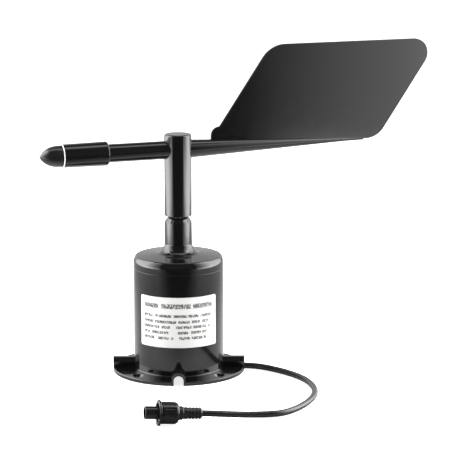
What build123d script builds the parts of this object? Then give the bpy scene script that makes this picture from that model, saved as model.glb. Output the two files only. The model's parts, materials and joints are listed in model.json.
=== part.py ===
"""Wind vane: a direction sensor with a flanged round base, a turning arm and tail fin, and a plugged cable.

The origin is the centre of the bolt circle on the underside of the flange. +Z is up, along the spindle.
All sizes are in millimetres.
"""

from build123d import *
import math
import os

os.makedirs("parts", exist_ok=True)

# ---------------------------------------------------------------- driving dimensions
# Casing
flange_radius = 55.0
flange_thickness = 3.2
flange_edge_round = 0.8
barrel_foot_radius = 37.6
barrel_top_radius = 37.2
barrel_height = 84.5
wall = 3.0
fit_gap = 0.1                   # pieces that are assembled but don't turn
bolt_circle_radius = 47.0
bolt_hole_radius = 2.75
bolt_head_radius = 4.9

# Cable tunnels through the flange
tunnel_angles = (0, 90, 180, 270)
tunnel_width = 8.0
tunnel_height = 8.3
hood_width = 11.0
hood_height = 10.9
hood_chamfer = 3.4

# Bottom cover
ledge_height = 13.5
ledge_width = 3.3
gasket_thickness = 0.6
cover_thickness = 2.8
cover_screw_angles = (30, 150, 270)
screw_radius = 1.5
screw_head_radius = 2.75
screw_head_height = 1.9
thread_gap = 0.05
boss_radius = 3.5
boss_height = 11.0

# Top cap
cap_skirt = 4.4                 # straight rim above the seam
cap_roll_width = 2.6
cap_roll_height = 6.0
cap_dish_rise = 2.1
cap_roof = 4.1
spigot_depth = 6.0
neck_foot_radius = 11.6
neck_radius = 11.25
neck_foot_round = 8.5
neck_length = 26.0              # from the dish to the chamfer
neck_chamfer_width = 2.85
neck_chamfer_height = 4.0
cap_seal_radius = 0.65

# Ball bearings, 5 x 16 x 5
bearing_bore_radius = 2.5
bearing_outer_radius = 8.0
bearing_width = 5.0
ball_radius = 1.5
ball_gap = 0.08
ball_count = 7
ring_land_gap = 0.55            # ring edge to the pitch circle, beyond a third of the ball
bearing_spacing = 30.0
cage_thickness = 0.7
cage_edge = 0.5
clip_thickness = 0.9

# Turning assembly
rain_gap = 1.0                  # between the neck and the hub
spindle_gap = 1.7               # round the spindle where it leaves the neck
collar_width = 0.9              # shoulder on the spindle under the upper bearing's inner ring
collar_height = 1.4
hub_radius = 11.25
hub_height = 68.1
hub_edge_round = 1.7
arm_below_hub_top = 12.9
arm_radius = 7.5
vane_yaw = 19.4                 # degrees, tail turned away from +X at rest
insert_wall = 2.1
insert_length = 37.0
grub_radius = 2.0
grub_height = 18.0              # above the underside of the hub
tie_rod_radius = 2.0

# Nose
nose_arm_length = 60.9
sleeve_length = 38.3
sleeve_rear_radius = 9.95
sleeve_front_radius = 9.5
sleeve_seat = 4.0               # length of the arm inside the sleeve
sleeve_wall = 2.7
weight_length = 30.5
nose_radius = 8.75
nose_length = 18.6
nose_spigot = 1.6

# Tail
boom_length = 166.0
boom_taper_length = 148.0       # the fast taper, then a slower one along the lower edge of the fin
boom_taper_side = 0.45          # what is left of the boom beside the fin, where the fast taper ends
boom_tip_side = 0.2
fin_thickness = 2.0
fin_height = 83.2
fin_root_start = 24.6
fin_length = 154.4
fin_slant = 0.688               # run of each end edge for one of height
fin_front_round = 25.0
fin_top_round = 12.5
fin_bottom_round = 19.5
lug_radius = 7.5
lug_height = 17.0

# Sensing parts
board_drop = 38.0               # from the roof of the cap to the board
board_radius = 29.5
board_thickness = 1.6
post_circle_radius = 26.0
post_angles = (90, 210, 330)
post_width = 5.5
post_boss_height = 6.0
sensor_circle_radius = 9.0
sensor_count = 8
carrier_radius = 13.0
carrier_thickness = 4.0
carrier_boss_radius = 5.0
carrier_boss_height = 5.0
carrier_gap = 6.0               # from the board to the carrier
magnet_radius = 3.0
magnet_height = 3.0

# Label
label_width = 71.0
label_height = 42.1
label_bottom = 27.5
label_thickness = 0.2
label_corner = 1.7

# Cable, with its outlet under the bottom cover
cable_radius = 2.5
outlet_length = 19.0
outlet_width = 13.0
outlet_front = 10.0
outlet_floor_gap = 0.4
grommet_radius = 3.7
grommet_flange_radius = 4.6
grommet_flange = 1.5
grommet_length = 7.0
lead_radius = 0.5
lead_pitch = 1.1

# Plug
plug_yaw = 12.0                 # degrees
plug_tilt = 4.5                 # degrees, nose end up
nut_ring_radius = 10.1
nut_ring_thickness = 1.8
nut_radius = 8.6
nut_length = 14.3
nut_bore_radius = 7.6
nut_rear_wall = 6.0
nut_neck_gap = 0.4
plug_nose_radius = 5.05
plug_nose_length = 11.0
plug_nose_wall = 0.95
plug_collar_radius = 7.2
plug_neck_radius = 5.5
pin_radius = 0.5
pin_circle_radius = 2.1
pin_count = 4
boot_head_radius = 5.35
boot_radius = 4.65
boot_length = 17.8
boot_head_length = 2.6

# ---------------------------------------------------------------- derived heights and radii
bearing_pitch_radius = (bearing_bore_radius + bearing_outer_radius) / 2
collar_radius = bearing_bore_radius + collar_width
insert_radius = bearing_bore_radius + insert_wall
seam_height = flange_thickness + barrel_height
cavity_radius = barrel_top_radius - wall + fit_gap
cover_top = ledge_height - gasket_thickness
cover_bottom = cover_top - cover_thickness
ledge_radius = cavity_radius - ledge_width
screw_circle_radius = ledge_radius
cap_crest_height = seam_height + cap_skirt + cap_roll_height
cap_crest_radius = barrel_top_radius - cap_roll_width
dish_height = cap_crest_height + cap_dish_rise
neck_shoulder_height = dish_height + neck_length
neck_top = neck_shoulder_height + neck_chamfer_height
roof_height = cap_crest_height - cap_roof
spigot_radius = cavity_radius - fit_gap
upper_bearing_height = neck_shoulder_height - bearing_width - 3.3
lower_bearing_height = upper_bearing_height - bearing_spacing
housing_radius = bearing_outer_radius + wall
housing_bottom = lower_bearing_height - 4.0
hub_bottom = neck_top + rain_gap
hub_top = hub_bottom + hub_height
arm_height = hub_top - arm_below_hub_top
board_top = roof_height - board_drop
board_bottom = board_top - board_thickness
carrier_bottom = board_top + carrier_gap
spindle_bottom = carrier_bottom + 1.0
spindle_top = hub_bottom + insert_length + 6.0
cable_height = cover_bottom / 2 + outlet_floor_gap / 2


def ring_on_axis(inner, outer, bottom, top):
    """A plain ring round the Z axis."""
    with BuildPart() as ring:
        with BuildSketch(Plane.XY.offset(bottom)):
            Circle(outer)
            if inner > 0:
                Circle(inner, mode=Mode.SUBTRACT)
        extrude(amount=top - bottom)
    return ring


def save(piece, name):
    """Label a finished piece and write it to its own file."""
    piece.part.label = name
    export_step(piece.part, "parts/" + name + ".step")


# ---------------------------------------------------------------- casing
tunnel_planes = []
for angle in tunnel_angles:
    turn = math.radians(angle)
    outward = (math.cos(turn), math.sin(turn), 0)
    sideways = (-math.sin(turn), math.cos(turn), 0)
    tunnel_planes.append(Plane(origin=(0, 0, 0), x_dir=sideways, z_dir=outward))

with BuildPart() as body_shell:
    # Hoods over the tunnels, trimmed to the rim of the flange
    for plane in tunnel_planes:
        with BuildSketch(plane.offset(barrel_foot_radius - wall)):
            with BuildLine():
                Polyline(
                    (-hood_width / 2, 0),
                    (-hood_width / 2, hood_height - hood_chamfer),
                    (-hood_width / 2 + hood_chamfer, hood_height),
                    (hood_width / 2 - hood_chamfer, hood_height),
                    (hood_width / 2, hood_height - hood_chamfer),
                    (hood_width / 2, 0),
                    close=True,
                )
            make_face()
        extrude(amount=flange_radius)
    Cylinder(flange_radius, 2 * hood_height + 1, mode=Mode.INTERSECT)
    # Flange and barrel
    with BuildSketch(Plane.XZ):
        with BuildLine():
            Polyline(
                (0, 0),
                (flange_radius, 0),
                (flange_radius, flange_thickness - flange_edge_round),
            )
            RadiusArc(
                (flange_radius, flange_thickness - flange_edge_round),
                (flange_radius - flange_edge_round, flange_thickness),
                -flange_edge_round,
            )
            Polyline(
                (flange_radius - flange_edge_round, flange_thickness),
                (barrel_foot_radius, flange_thickness),
                (barrel_top_radius, seam_height),
                (0, seam_height),
                (0, 0),
            )
        make_face()
    revolve(axis=Axis.Z)
    # Recess under the cover, ledge and inner cavity
    with BuildSketch(Plane.XZ):
        with BuildLine():
            Polyline(
                (0, 0),
                (cavity_radius, 0),
                (cavity_radius, ledge_height),
                (ledge_radius, ledge_height),
                (ledge_radius, ledge_height + wall),
                (cavity_radius, ledge_height + wall),
                (cavity_radius, seam_height),
                (0, seam_height),
                close=True,
            )
        make_face()
    revolve(axis=Axis.Z, mode=Mode.SUBTRACT)
    # Screw bosses on the ledge, kept inside the wall
    with BuildSketch(Plane.XY.offset(ledge_height)):
        for angle in cover_screw_angles:
            with PolarLocations(screw_circle_radius, 1, angle):
                Circle(boss_radius)
        Circle(cavity_radius + fit_gap, mode=Mode.INTERSECT)
    extrude(amount=boss_height)
    with BuildSketch(Plane.XY.offset(ledge_height)):
        for angle in cover_screw_angles:
            with PolarLocations(screw_circle_radius, 1, angle):
                Circle(screw_radius + thread_gap)
    extrude(amount=boss_height - 1.5, mode=Mode.SUBTRACT)
    # Arched tunnels
    for plane in tunnel_planes:
        with BuildSketch(plane.offset(cavity_radius - wall)):
            with BuildLine():
                Line((-tunnel_width / 2, 0), (tunnel_width / 2, 0))
                Line((tunnel_width / 2, 0), (tunnel_width / 2, tunnel_height - tunnel_width / 2))
                RadiusArc(
                    (tunnel_width / 2, tunnel_height - tunnel_width / 2),
                    (-tunnel_width / 2, tunnel_height - tunnel_width / 2),
                    -tunnel_width / 2,
                )
                Line((-tunnel_width / 2, tunnel_height - tunnel_width / 2), (-tunnel_width / 2, 0))
            make_face()
        extrude(amount=flange_radius, mode=Mode.SUBTRACT)
    # Countersunk mounting holes between the tunnels
    with Locations(Plane.XY.offset(flange_thickness)):
        with PolarLocations(bolt_circle_radius, len(tunnel_angles), 45):
            CounterSinkHole(bolt_hole_radius, bolt_head_radius, counter_sink_angle=90)
save(body_shell, "body_shell")

with BuildPart() as top_cap:
    with BuildSketch(Plane.XZ):
        with BuildLine():
            Line((0, seam_height), (barrel_top_radius, seam_height))
            Line((barrel_top_radius, seam_height), (barrel_top_radius, seam_height + cap_skirt))
            EllipticalCenterArc(
                (cap_crest_radius, seam_height + cap_skirt),
                cap_roll_width,
                cap_roll_height,
                start_angle=0,
                arc_size=90,
            )
            Line((cap_crest_radius, cap_crest_height), (neck_foot_radius, dish_height))
            Line((neck_foot_radius, dish_height), (neck_radius, neck_shoulder_height))
            Line(
                (neck_radius, neck_shoulder_height),
                (neck_radius - neck_chamfer_width, neck_top),
            )
            Line((neck_radius - neck_chamfer_width, neck_top), (0, neck_top))
            Line((0, neck_top), (0, seam_height))
        make_face()
    revolve(axis=Axis.Z)
    neck_foot = top_cap.edges().filter_by(
        lambda edge: abs(edge.center().Z - dish_height) < 0.01 and edge.geom_type == GeomType.CIRCLE
    )
    fillet(neck_foot, neck_foot_round)
    # Hollow under the roof, then the spigot and the bearing housing
    with BuildSketch(Plane.XY.offset(seam_height)):
        Circle(spigot_radius - wall)
    extrude(amount=roof_height - seam_height, mode=Mode.SUBTRACT)
    with BuildSketch(Plane.XY.offset(seam_height - spigot_depth)):
        Circle(spigot_radius)
        Circle(spigot_radius - wall, mode=Mode.SUBTRACT)
    extrude(amount=spigot_depth)
    with BuildSketch(Plane.XY.offset(housing_bottom)):
        Circle(housing_radius)
    extrude(amount=roof_height - housing_bottom)
    with BuildSketch(Plane.XY.offset(roof_height - post_boss_height)):
        for angle in post_angles:
            with PolarLocations(post_circle_radius, 1, angle):
                Circle(boss_radius)
    extrude(amount=post_boss_height)
    with BuildSketch(Plane.XY.offset(roof_height - post_boss_height)):
        for angle in post_angles:
            with PolarLocations(post_circle_radius, 1, angle):
                Circle(screw_radius + thread_gap)
    extrude(amount=post_boss_height, mode=Mode.SUBTRACT)
    # Bearing bore, its top shoulder, the spindle's way out and the circlip groove
    with BuildSketch(Plane.XZ):
        with BuildLine():
            Polyline(
                (0, housing_bottom),
                (bearing_outer_radius, housing_bottom),
                (bearing_outer_radius, lower_bearing_height - clip_thickness - fit_gap),
                (bearing_outer_radius + 0.5, lower_bearing_height - clip_thickness - fit_gap),
                (bearing_outer_radius + 0.5, lower_bearing_height),
                (bearing_outer_radius, lower_bearing_height),
                (bearing_outer_radius, upper_bearing_height + bearing_width),
                (bearing_outer_radius - 1.1, upper_bearing_height + bearing_width),
                (bearing_outer_radius - 1.1, upper_bearing_height + bearing_width + 2.4),
                (bearing_bore_radius + spindle_gap, upper_bearing_height + bearing_width + 2.4),
                (bearing_bore_radius + spindle_gap, neck_top),
                (0, neck_top),
                close=True,
            )
        make_face()
    revolve(axis=Axis.Z, mode=Mode.SUBTRACT)
    # Groove for the cap seal
    with BuildSketch(Plane.XY.offset(seam_height - spigot_depth / 2 - cap_seal_radius)):
        Circle(spigot_radius + 1)
        Circle(cavity_radius - 2 * cap_seal_radius, mode=Mode.SUBTRACT)
    extrude(amount=2 * cap_seal_radius, mode=Mode.SUBTRACT)
save(top_cap, "top_cap")

with BuildPart() as cap_seal:
    with BuildSketch(Plane.XZ):
        with Locations((cavity_radius - cap_seal_radius, seam_height - spigot_depth / 2)):
            Circle(cap_seal_radius)
    revolve(axis=Axis.Z)
save(cap_seal, "cap_seal")

with BuildPart() as bottom_cover:
    with BuildSketch(Plane.XY.offset(cover_bottom)):
        Circle(cavity_radius - 2 * fit_gap)
        for angle in cover_screw_angles:
            with PolarLocations(screw_circle_radius, 1, angle):
                Circle(screw_radius + 2 * fit_gap, mode=Mode.SUBTRACT)
    extrude(amount=cover_thickness)
    # Cable outlet block under the cover
    with BuildSketch(Plane.XY.offset(outlet_floor_gap)):
        with Locations((outlet_front - outlet_length / 2, 0)):
            RectangleRounded(outlet_length, outlet_width, 2.0)
    extrude(amount=cover_bottom - outlet_floor_gap)
    with BuildSketch(Plane.YZ.offset(outlet_front)):
        with Locations((0, cable_height)):
            Circle(grommet_radius)
    extrude(amount=-outlet_front - 2.0, mode=Mode.SUBTRACT)
    with BuildSketch(Plane.XY.offset(cable_height)):
        with Locations((-2.0, 0)):
            Circle(grommet_radius)
    extrude(amount=cover_top - cable_height, mode=Mode.SUBTRACT)
save(bottom_cover, "bottom_cover")

with BuildPart() as cover_gasket:
    with BuildSketch(Plane.XY.offset(cover_top)):
        Circle(cavity_radius - 2 * fit_gap)
        Circle(screw_circle_radius - boss_radius, mode=Mode.SUBTRACT)
        for angle in cover_screw_angles:
            with PolarLocations(screw_circle_radius, 1, angle):
                Circle(screw_radius + 2 * fit_gap, mode=Mode.SUBTRACT)
    extrude(amount=gasket_thickness)
save(cover_gasket, "cover_gasket")

with BuildPart() as cover_screws:
    for angle in cover_screw_angles:
        with BuildSketch(Plane.XY.offset(cover_bottom)):
            with PolarLocations(screw_circle_radius, 1, angle):
                Circle(screw_head_radius)
        extrude(amount=-screw_head_height)
        with BuildSketch(Plane.XY.offset(cover_bottom)):
            with PolarLocations(screw_circle_radius, 1, angle):
                Circle(screw_radius)
        extrude(amount=cover_thickness + gasket_thickness + boss_height - 3.0)
        with BuildSketch(Plane.XY.offset(cover_bottom - screw_head_height)):
            with PolarLocations(screw_circle_radius, 1, angle):
                Rectangle(3.2, 0.7)
                Rectangle(0.7, 3.2)
        extrude(amount=1.2, mode=Mode.SUBTRACT)
    head_rims = cover_screws.edges().filter_by(
        lambda edge: edge.geom_type == GeomType.CIRCLE
        and abs(edge.radius - screw_head_radius) < 0.01
        and edge.center().Z < cover_bottom - 0.1
    )
    fillet(head_rims, 0.6)
save(cover_screws, "cover_screws")

# The label follows the taper of the barrel
label_middle_radius = barrel_foot_radius + (barrel_top_radius - barrel_foot_radius) * (
    (label_bottom + label_height / 2 - flange_thickness) / barrel_height
)
label_turn = math.degrees(label_width / label_middle_radius)
label_start = math.radians(-90 - label_turn / 2)


def barrel_radius(height):
    """Outer radius of the barrel at a height."""
    share = (height - flange_thickness) / barrel_height
    return barrel_foot_radius + (barrel_top_radius - barrel_foot_radius) * share


with BuildPart() as label:
    label_plane = Plane(
        origin=(0, 0, 0),
        x_dir=(math.cos(label_start), math.sin(label_start), 0),
        z_dir=(math.sin(label_start), -math.cos(label_start), 0),
    )
    label_top = label_bottom + label_height
    with BuildSketch(label_plane):
        with BuildLine():
            Polyline(
                (barrel_radius(label_bottom), label_bottom),
                (barrel_radius(label_bottom) + label_thickness, label_bottom),
                (barrel_radius(label_top) + label_thickness, label_top),
                (barrel_radius(label_top), label_top),
                close=True,
            )
        make_face()
    revolve(axis=Axis.Z, revolution_arc=label_turn)
    label_corners = label.edges().filter_by(lambda edge: edge.length < 2 * label_thickness)
    fillet(label_corners, label_corner)
save(label, "label")

# ---------------------------------------------------------------- bearings
ring_land = ball_radius / 3 + ring_land_gap - 0.1


def make_bearing(prefix, bottom):
    """One deep-groove ball bearing in four pieces: both rings, the balls and their cage."""
    middle = bottom + bearing_width / 2
    with BuildPart() as outer_ring:
        with BuildSketch(Plane.XY.offset(bottom)):
            Circle(bearing_outer_radius)
            Circle(bearing_pitch_radius + ring_land, mode=Mode.SUBTRACT)
        extrude(amount=bearing_width)
        with BuildSketch(Plane.XZ):
            with Locations((bearing_pitch_radius, middle)):
                Circle(ball_radius + ball_gap)
        revolve(axis=Axis.Z, mode=Mode.SUBTRACT)
    save(outer_ring, prefix + "_bearing_outer_ring")

    with BuildPart() as inner_ring:
        with BuildSketch(Plane.XY.offset(bottom)):
            Circle(bearing_pitch_radius - ring_land)
            Circle(bearing_bore_radius, mode=Mode.SUBTRACT)
        extrude(amount=bearing_width)
        with BuildSketch(Plane.XZ):
            with Locations((bearing_pitch_radius, middle)):
                Circle(ball_radius + ball_gap)
        revolve(axis=Axis.Z, mode=Mode.SUBTRACT)
    save(inner_ring, prefix + "_bearing_inner_ring")

    with BuildPart() as balls:
        with Locations(Plane.XY.offset(middle)):
            with PolarLocations(bearing_pitch_radius, ball_count):
                Sphere(ball_radius)
    save(balls, prefix + "_bearing_balls")

    with BuildPart() as cage:
        cage_half_height = ball_radius + cage_edge
        with BuildSketch(Plane.XY.offset(middle - cage_half_height)):
            Circle(bearing_pitch_radius + cage_thickness / 2)
            Circle(bearing_pitch_radius - cage_thickness / 2, mode=Mode.SUBTRACT)
        extrude(amount=2 * cage_half_height)
        # One round pocket for each ball
        for index in range(ball_count):
            turn = math.radians(index * 360 / ball_count)
            outward = (math.cos(turn), math.sin(turn), 0)
            with BuildSketch(Plane(origin=(0, 0, middle), x_dir=(0, 0, 1), z_dir=outward)):
                Circle(ball_radius + ball_gap)
            extrude(amount=bearing_pitch_radius + cage_thickness, mode=Mode.SUBTRACT)
    save(cage, prefix + "_bearing_cage")


make_bearing("upper", upper_bearing_height)
make_bearing("lower", lower_bearing_height)

outer_spacer = ring_on_axis(
    bearing_outer_radius - 0.9,
    bearing_outer_radius,
    lower_bearing_height + bearing_width,
    upper_bearing_height,
)
save(outer_spacer, "outer_spacer")

inner_spacer = ring_on_axis(
    bearing_bore_radius,
    collar_radius,
    lower_bearing_height + bearing_width,
    upper_bearing_height,
)
save(inner_spacer, "inner_spacer")

with BuildPart() as bearing_circlip:
    with BuildSketch(Plane.XY.offset(lower_bearing_height - clip_thickness)):
        Circle(bearing_outer_radius + 0.4)
        Circle(bearing_outer_radius - 1.0, mode=Mode.SUBTRACT)
        with Locations((0, bearing_outer_radius)):
            Rectangle(3.0, 6.0, mode=Mode.SUBTRACT)
    extrude(amount=clip_thickness)
save(bearing_circlip, "bearing_circlip")

# ---------------------------------------------------------------- spindle and sensing magnet
with BuildPart() as spindle:
    with BuildSketch(Plane.XZ):
        with BuildLine():
            Polyline(
                (0, spindle_bottom),
                (bearing_bore_radius - 0.3, spindle_bottom),
                (bearing_bore_radius, spindle_bottom + 0.3),
                (bearing_bore_radius, lower_bearing_height - clip_thickness),
                (bearing_bore_radius - 0.4, lower_bearing_height - clip_thickness),
                (bearing_bore_radius - 0.4, lower_bearing_height),
                (bearing_bore_radius, lower_bearing_height),
                (bearing_bore_radius, upper_bearing_height + bearing_width),
                (collar_radius, upper_bearing_height + bearing_width),
                (collar_radius, upper_bearing_height + bearing_width + collar_height),
                (bearing_bore_radius, upper_bearing_height + bearing_width + collar_height),
                (bearing_bore_radius, spindle_top - 0.3),
                (bearing_bore_radius - 0.3, spindle_top),
                (0, spindle_top),
                close=True,
            )
        make_face()
    revolve(axis=Axis.Z)
save(spindle, "spindle")

with BuildPart() as spindle_clip:
    with BuildSketch(Plane.XY.offset(lower_bearing_height - clip_thickness)):
        Circle(bearing_bore_radius + 1.7)
        Circle(bearing_bore_radius - 0.4, mode=Mode.SUBTRACT)
        with Locations((0, bearing_bore_radius + 1)):
            Rectangle(2.4, 5.0, mode=Mode.SUBTRACT)
    extrude(amount=clip_thickness)
save(spindle_clip, "spindle_clip")

with BuildPart() as magnet_carrier:
    with BuildSketch(Plane.XY.offset(carrier_bottom)):
        Circle(carrier_radius)
    extrude(amount=carrier_thickness)
    with BuildSketch(Plane.XY.offset(carrier_bottom)):
        Circle(carrier_boss_radius)
    extrude(amount=carrier_thickness + carrier_boss_height)
    with BuildSketch(Plane.XY.offset(spindle_bottom)):
        Circle(bearing_bore_radius)
    extrude(amount=carrier_thickness + carrier_boss_height, mode=Mode.SUBTRACT)
    with BuildSketch(Plane.XY.offset(carrier_bottom)):
        with Locations((-sensor_circle_radius, 0)):
            Circle(magnet_radius)
    extrude(amount=magnet_height, mode=Mode.SUBTRACT)
save(magnet_carrier, "magnet_carrier")

with BuildPart() as magnet:
    with BuildSketch(Plane.XY.offset(carrier_bottom)):
        with Locations((-sensor_circle_radius, 0)):
            Circle(magnet_radius)
    extrude(amount=magnet_height)
save(magnet, "magnet")

# ---------------------------------------------------------------- hub, arm and tail
yaw = math.radians(vane_yaw)
tail_direction = Vector(math.cos(yaw), math.sin(yaw), 0)
arm_centre = Vector(0, 0, arm_height)
vane_plane = Plane(
    origin=arm_centre,
    x_dir=tail_direction,
    z_dir=(math.sin(yaw), -math.cos(yaw), 0),
)
arm_axis = Axis(arm_centre, tail_direction)
arm_cross_plane = Plane(origin=arm_centre, x_dir=(0, 0, 1), z_dir=tail_direction)

with BuildPart() as vane_hub:
    with BuildSketch(Plane.XY.offset(hub_bottom)):
        Circle(hub_radius)
    extrude(amount=hub_height)
    fillet(vane_hub.edges().group_by(Axis.Z)[-1], hub_edge_round)
    chamfer(vane_hub.edges().group_by(Axis.Z)[0], 0.4)
    # Cross bore for the arm and the tail boom
    with BuildSketch(arm_cross_plane.offset(-2 * hub_radius)):
        Circle(arm_radius)
    extrude(amount=4 * hub_radius, mode=Mode.SUBTRACT)
    # Bore for the insert and the spindle
    with BuildSketch(Plane.XY.offset(hub_bottom)):
        Circle(insert_radius)
    extrude(amount=insert_length, mode=Mode.SUBTRACT)
    with BuildSketch(Plane.XY.offset(hub_bottom)):
        Circle(bearing_bore_radius)
    extrude(amount=spindle_top - hub_bottom, mode=Mode.SUBTRACT)
    # Grub screw hole at the back
    with BuildSketch(Plane.XZ.offset(-hub_radius - 1)):
        with Locations((0, hub_bottom + grub_height)):
            Circle(grub_radius + thread_gap)
    extrude(amount=hub_radius, mode=Mode.SUBTRACT)
save(vane_hub, "vane_hub")

with BuildPart() as hub_insert:
    with BuildSketch(Plane.XY.offset(hub_bottom)):
        Circle(insert_radius)
        Circle(bearing_bore_radius, mode=Mode.SUBTRACT)
    extrude(amount=insert_length)
    with BuildSketch(Plane.XZ.offset(-hub_radius)):
        with Locations((0, hub_bottom + grub_height)):
            Circle(grub_radius + thread_gap)
    extrude(amount=hub_radius - 1, mode=Mode.SUBTRACT)
    # Grooves that the moulded hub grips
    for share in (0.2, 0.4, 0.7, 0.9):
        with BuildSketch(Plane.XY.offset(hub_bottom + share * insert_length)):
            Circle(insert_radius)
            Circle(insert_radius - 0.4, mode=Mode.SUBTRACT)
        extrude(amount=1.2, mode=Mode.SUBTRACT)
save(hub_insert, "hub_insert")

with BuildPart() as hub_grub_screw:
    grub_outer = hub_radius - 0.8
    with BuildSketch(Plane.XZ.offset(-grub_outer)):
        with Locations((0, hub_bottom + grub_height)):
            Circle(grub_radius)
    extrude(amount=grub_outer - bearing_bore_radius)
    with BuildSketch(Plane.XZ.offset(-grub_outer)):
        with Locations((0, hub_bottom + grub_height)):
            RegularPolygon(1.15, 6)
    extrude(amount=2.0, mode=Mode.SUBTRACT)
save(hub_grub_screw, "hub_grub_screw")

sleeve_start = nose_arm_length
sleeve_end = nose_arm_length + sleeve_length
sleeve_bore = sleeve_front_radius - sleeve_wall
weight_start = sleeve_start + sleeve_seat
rod_nose_end = sleeve_end + nose_spigot + 4.0
rod_tail_end = fin_root_start - 1.0

with BuildPart() as nose_arm:
    with BuildSketch(vane_plane):
        with BuildLine():
            Polyline(
                (0, tie_rod_radius),
                (-sleeve_start - sleeve_seat, tie_rod_radius),
                (-sleeve_start - sleeve_seat, arm_radius - 0.5),
                (-sleeve_start - sleeve_seat + 0.5, arm_radius),
                (0, arm_radius),
                close=True,
            )
        make_face()
    revolve(axis=arm_axis)
save(nose_arm, "nose_arm")

with BuildPart() as nose_sleeve:
    with BuildSketch(vane_plane):
        with BuildLine():
            Polyline(
                (-sleeve_start, arm_radius),
                (-sleeve_start, sleeve_rear_radius - 0.8),
                (-sleeve_start - 0.8, sleeve_rear_radius),
                (-sleeve_end + 0.3, sleeve_front_radius),
                (-sleeve_end, sleeve_front_radius - 0.3),
                (-sleeve_end, sleeve_bore),
                (-weight_start, sleeve_bore),
                (-weight_start, arm_radius),
                close=True,
            )
        make_face()
    revolve(axis=arm_axis)
save(nose_sleeve, "nose_sleeve")

with BuildPart() as counterweight:
    with BuildSketch(vane_plane):
        with BuildLine():
            Polyline(
                (-weight_start, tie_rod_radius),
                (-weight_start - weight_length, tie_rod_radius),
                (-weight_start - weight_length, sleeve_bore - fit_gap - 0.5),
                (-weight_start - weight_length + 0.5, sleeve_bore - fit_gap),
                (-weight_start - 0.5, sleeve_bore - fit_gap),
                (-weight_start, sleeve_bore - fit_gap - 0.5),
                close=True,
            )
        make_face()
    revolve(axis=arm_axis)
save(counterweight, "counterweight")

with BuildPart() as nose_cone:
    with BuildSketch(vane_plane):
        with BuildLine():
            Polyline(
                (-sleeve_end - nose_length, 0),
                (-rod_nose_end, 0),
                (-rod_nose_end, tie_rod_radius),
                (-sleeve_end + nose_spigot, tie_rod_radius),
                (-sleeve_end + nose_spigot, sleeve_bore - fit_gap),
                (-sleeve_end, sleeve_bore - fit_gap),
                (-sleeve_end, nose_radius),
            )
            Line((-sleeve_end, nose_radius), (-sleeve_end - 2.0, nose_radius - 0.1))
            Spline(
                (-sleeve_end - 2.0, nose_radius - 0.1),
                (-sleeve_end - 0.61 * nose_length, 0.81 * nose_radius),
                (-sleeve_end - 0.81 * nose_length, 0.49 * nose_radius),
                (-sleeve_end - nose_length, 0),
                tangents=((-1, -0.05), (-0.1, -1)),
            )
        make_face()
    revolve(axis=arm_axis)
save(nose_cone, "nose_cone")

with BuildPart() as tie_rod:
    with BuildSketch(arm_cross_plane.offset(-rod_nose_end)):
        Circle(tie_rod_radius)
    extrude(amount=rod_nose_end + rod_tail_end)
save(tie_rod, "tie_rod")

fin_slant_run = fin_slant * fin_height
lug_corner = fin_root_start + fin_slant * lug_height

with BuildPart() as tail_fin:
    with BuildSketch(vane_plane.offset(-fin_thickness / 2)) as fin_outline:
        with BuildLine():
            Polyline(
                (lug_corner - lug_radius, 0),
                (fin_root_start + fin_length, 0),
                (fin_root_start + fin_length + fin_slant_run, fin_height),
                (fin_root_start + fin_slant_run, fin_height),
                (lug_corner, lug_height),
            )
            RadiusArc(
                (lug_corner, lug_height),
                (lug_corner - lug_radius, lug_height - lug_radius),
                -lug_radius,
            )
            Line((lug_corner - lug_radius, lug_height - lug_radius), (lug_corner - lug_radius, 0))
        make_face()
        top_corners = fin_outline.vertices().group_by(Axis.Y)[-1].sort_by(Axis.X)
        fillet(top_corners[0], fin_front_round)
        top_rear = fin_outline.vertices().group_by(Axis.Y)[-1].sort_by(Axis.X)[-1]
        fillet(top_rear, fin_top_round)
        bottom_rear = fin_outline.vertices().group_by(Axis.Y)[0].sort_by(Axis.X)[-1]
        fillet(bottom_rear, fin_bottom_round)
    extrude(amount=fin_thickness)
save(tail_fin, "tail_fin")

with BuildPart() as tail_boom:
    with BuildSketch(vane_plane):
        with BuildLine():
            Polyline(
                (0, tie_rod_radius),
                (rod_tail_end, tie_rod_radius),
                (rod_tail_end, 0),
                (boom_length, 0),
                (boom_length, fin_thickness / 2 + boom_tip_side),
                (boom_taper_length, fin_thickness / 2 + boom_taper_side),
                (hub_radius, arm_radius),
                (0, arm_radius),
                close=True,
            )
        make_face()
    revolve(axis=arm_axis)
    # Slot that holds the lower edge of the fin
    with BuildSketch(vane_plane.offset(-fin_thickness / 2)):
        with Locations((lug_corner - lug_radius, 0)):
            Rectangle(boom_length, 2 * arm_radius, align=(Align.MIN, Align.MIN))
    extrude(amount=fin_thickness, mode=Mode.SUBTRACT)
save(tail_boom, "tail_boom")

# ---------------------------------------------------------------- sensor board
with BuildPart() as sensor_board:
    with BuildSketch(Plane.XY.offset(board_bottom)):
        Circle(board_radius)
        for angle in post_angles:
            with PolarLocations(post_circle_radius, 1, angle):
                Circle(screw_radius + fit_gap, mode=Mode.SUBTRACT)
    extrude(amount=board_thickness)
save(sensor_board, "sensor_board")

with BuildPart() as board_posts:
    for angle in post_angles:
        with BuildSketch(Plane.XY.offset(board_top)):
            with PolarLocations(post_circle_radius, 1, angle):
                RegularPolygon(post_width / 2, 6, major_radius=False)
        extrude(amount=board_drop - post_boss_height)
        with BuildSketch(Plane.XY.offset(roof_height - post_boss_height)):
            with PolarLocations(post_circle_radius, 1, angle):
                Circle(screw_radius)
        extrude(amount=post_boss_height - 0.5)
        with BuildSketch(Plane.XY.offset(board_top)):
            with PolarLocations(post_circle_radius, 1, angle):
                Circle(screw_radius + thread_gap)
        extrude(amount=9.0, mode=Mode.SUBTRACT)
save(board_posts, "board_posts")

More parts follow.
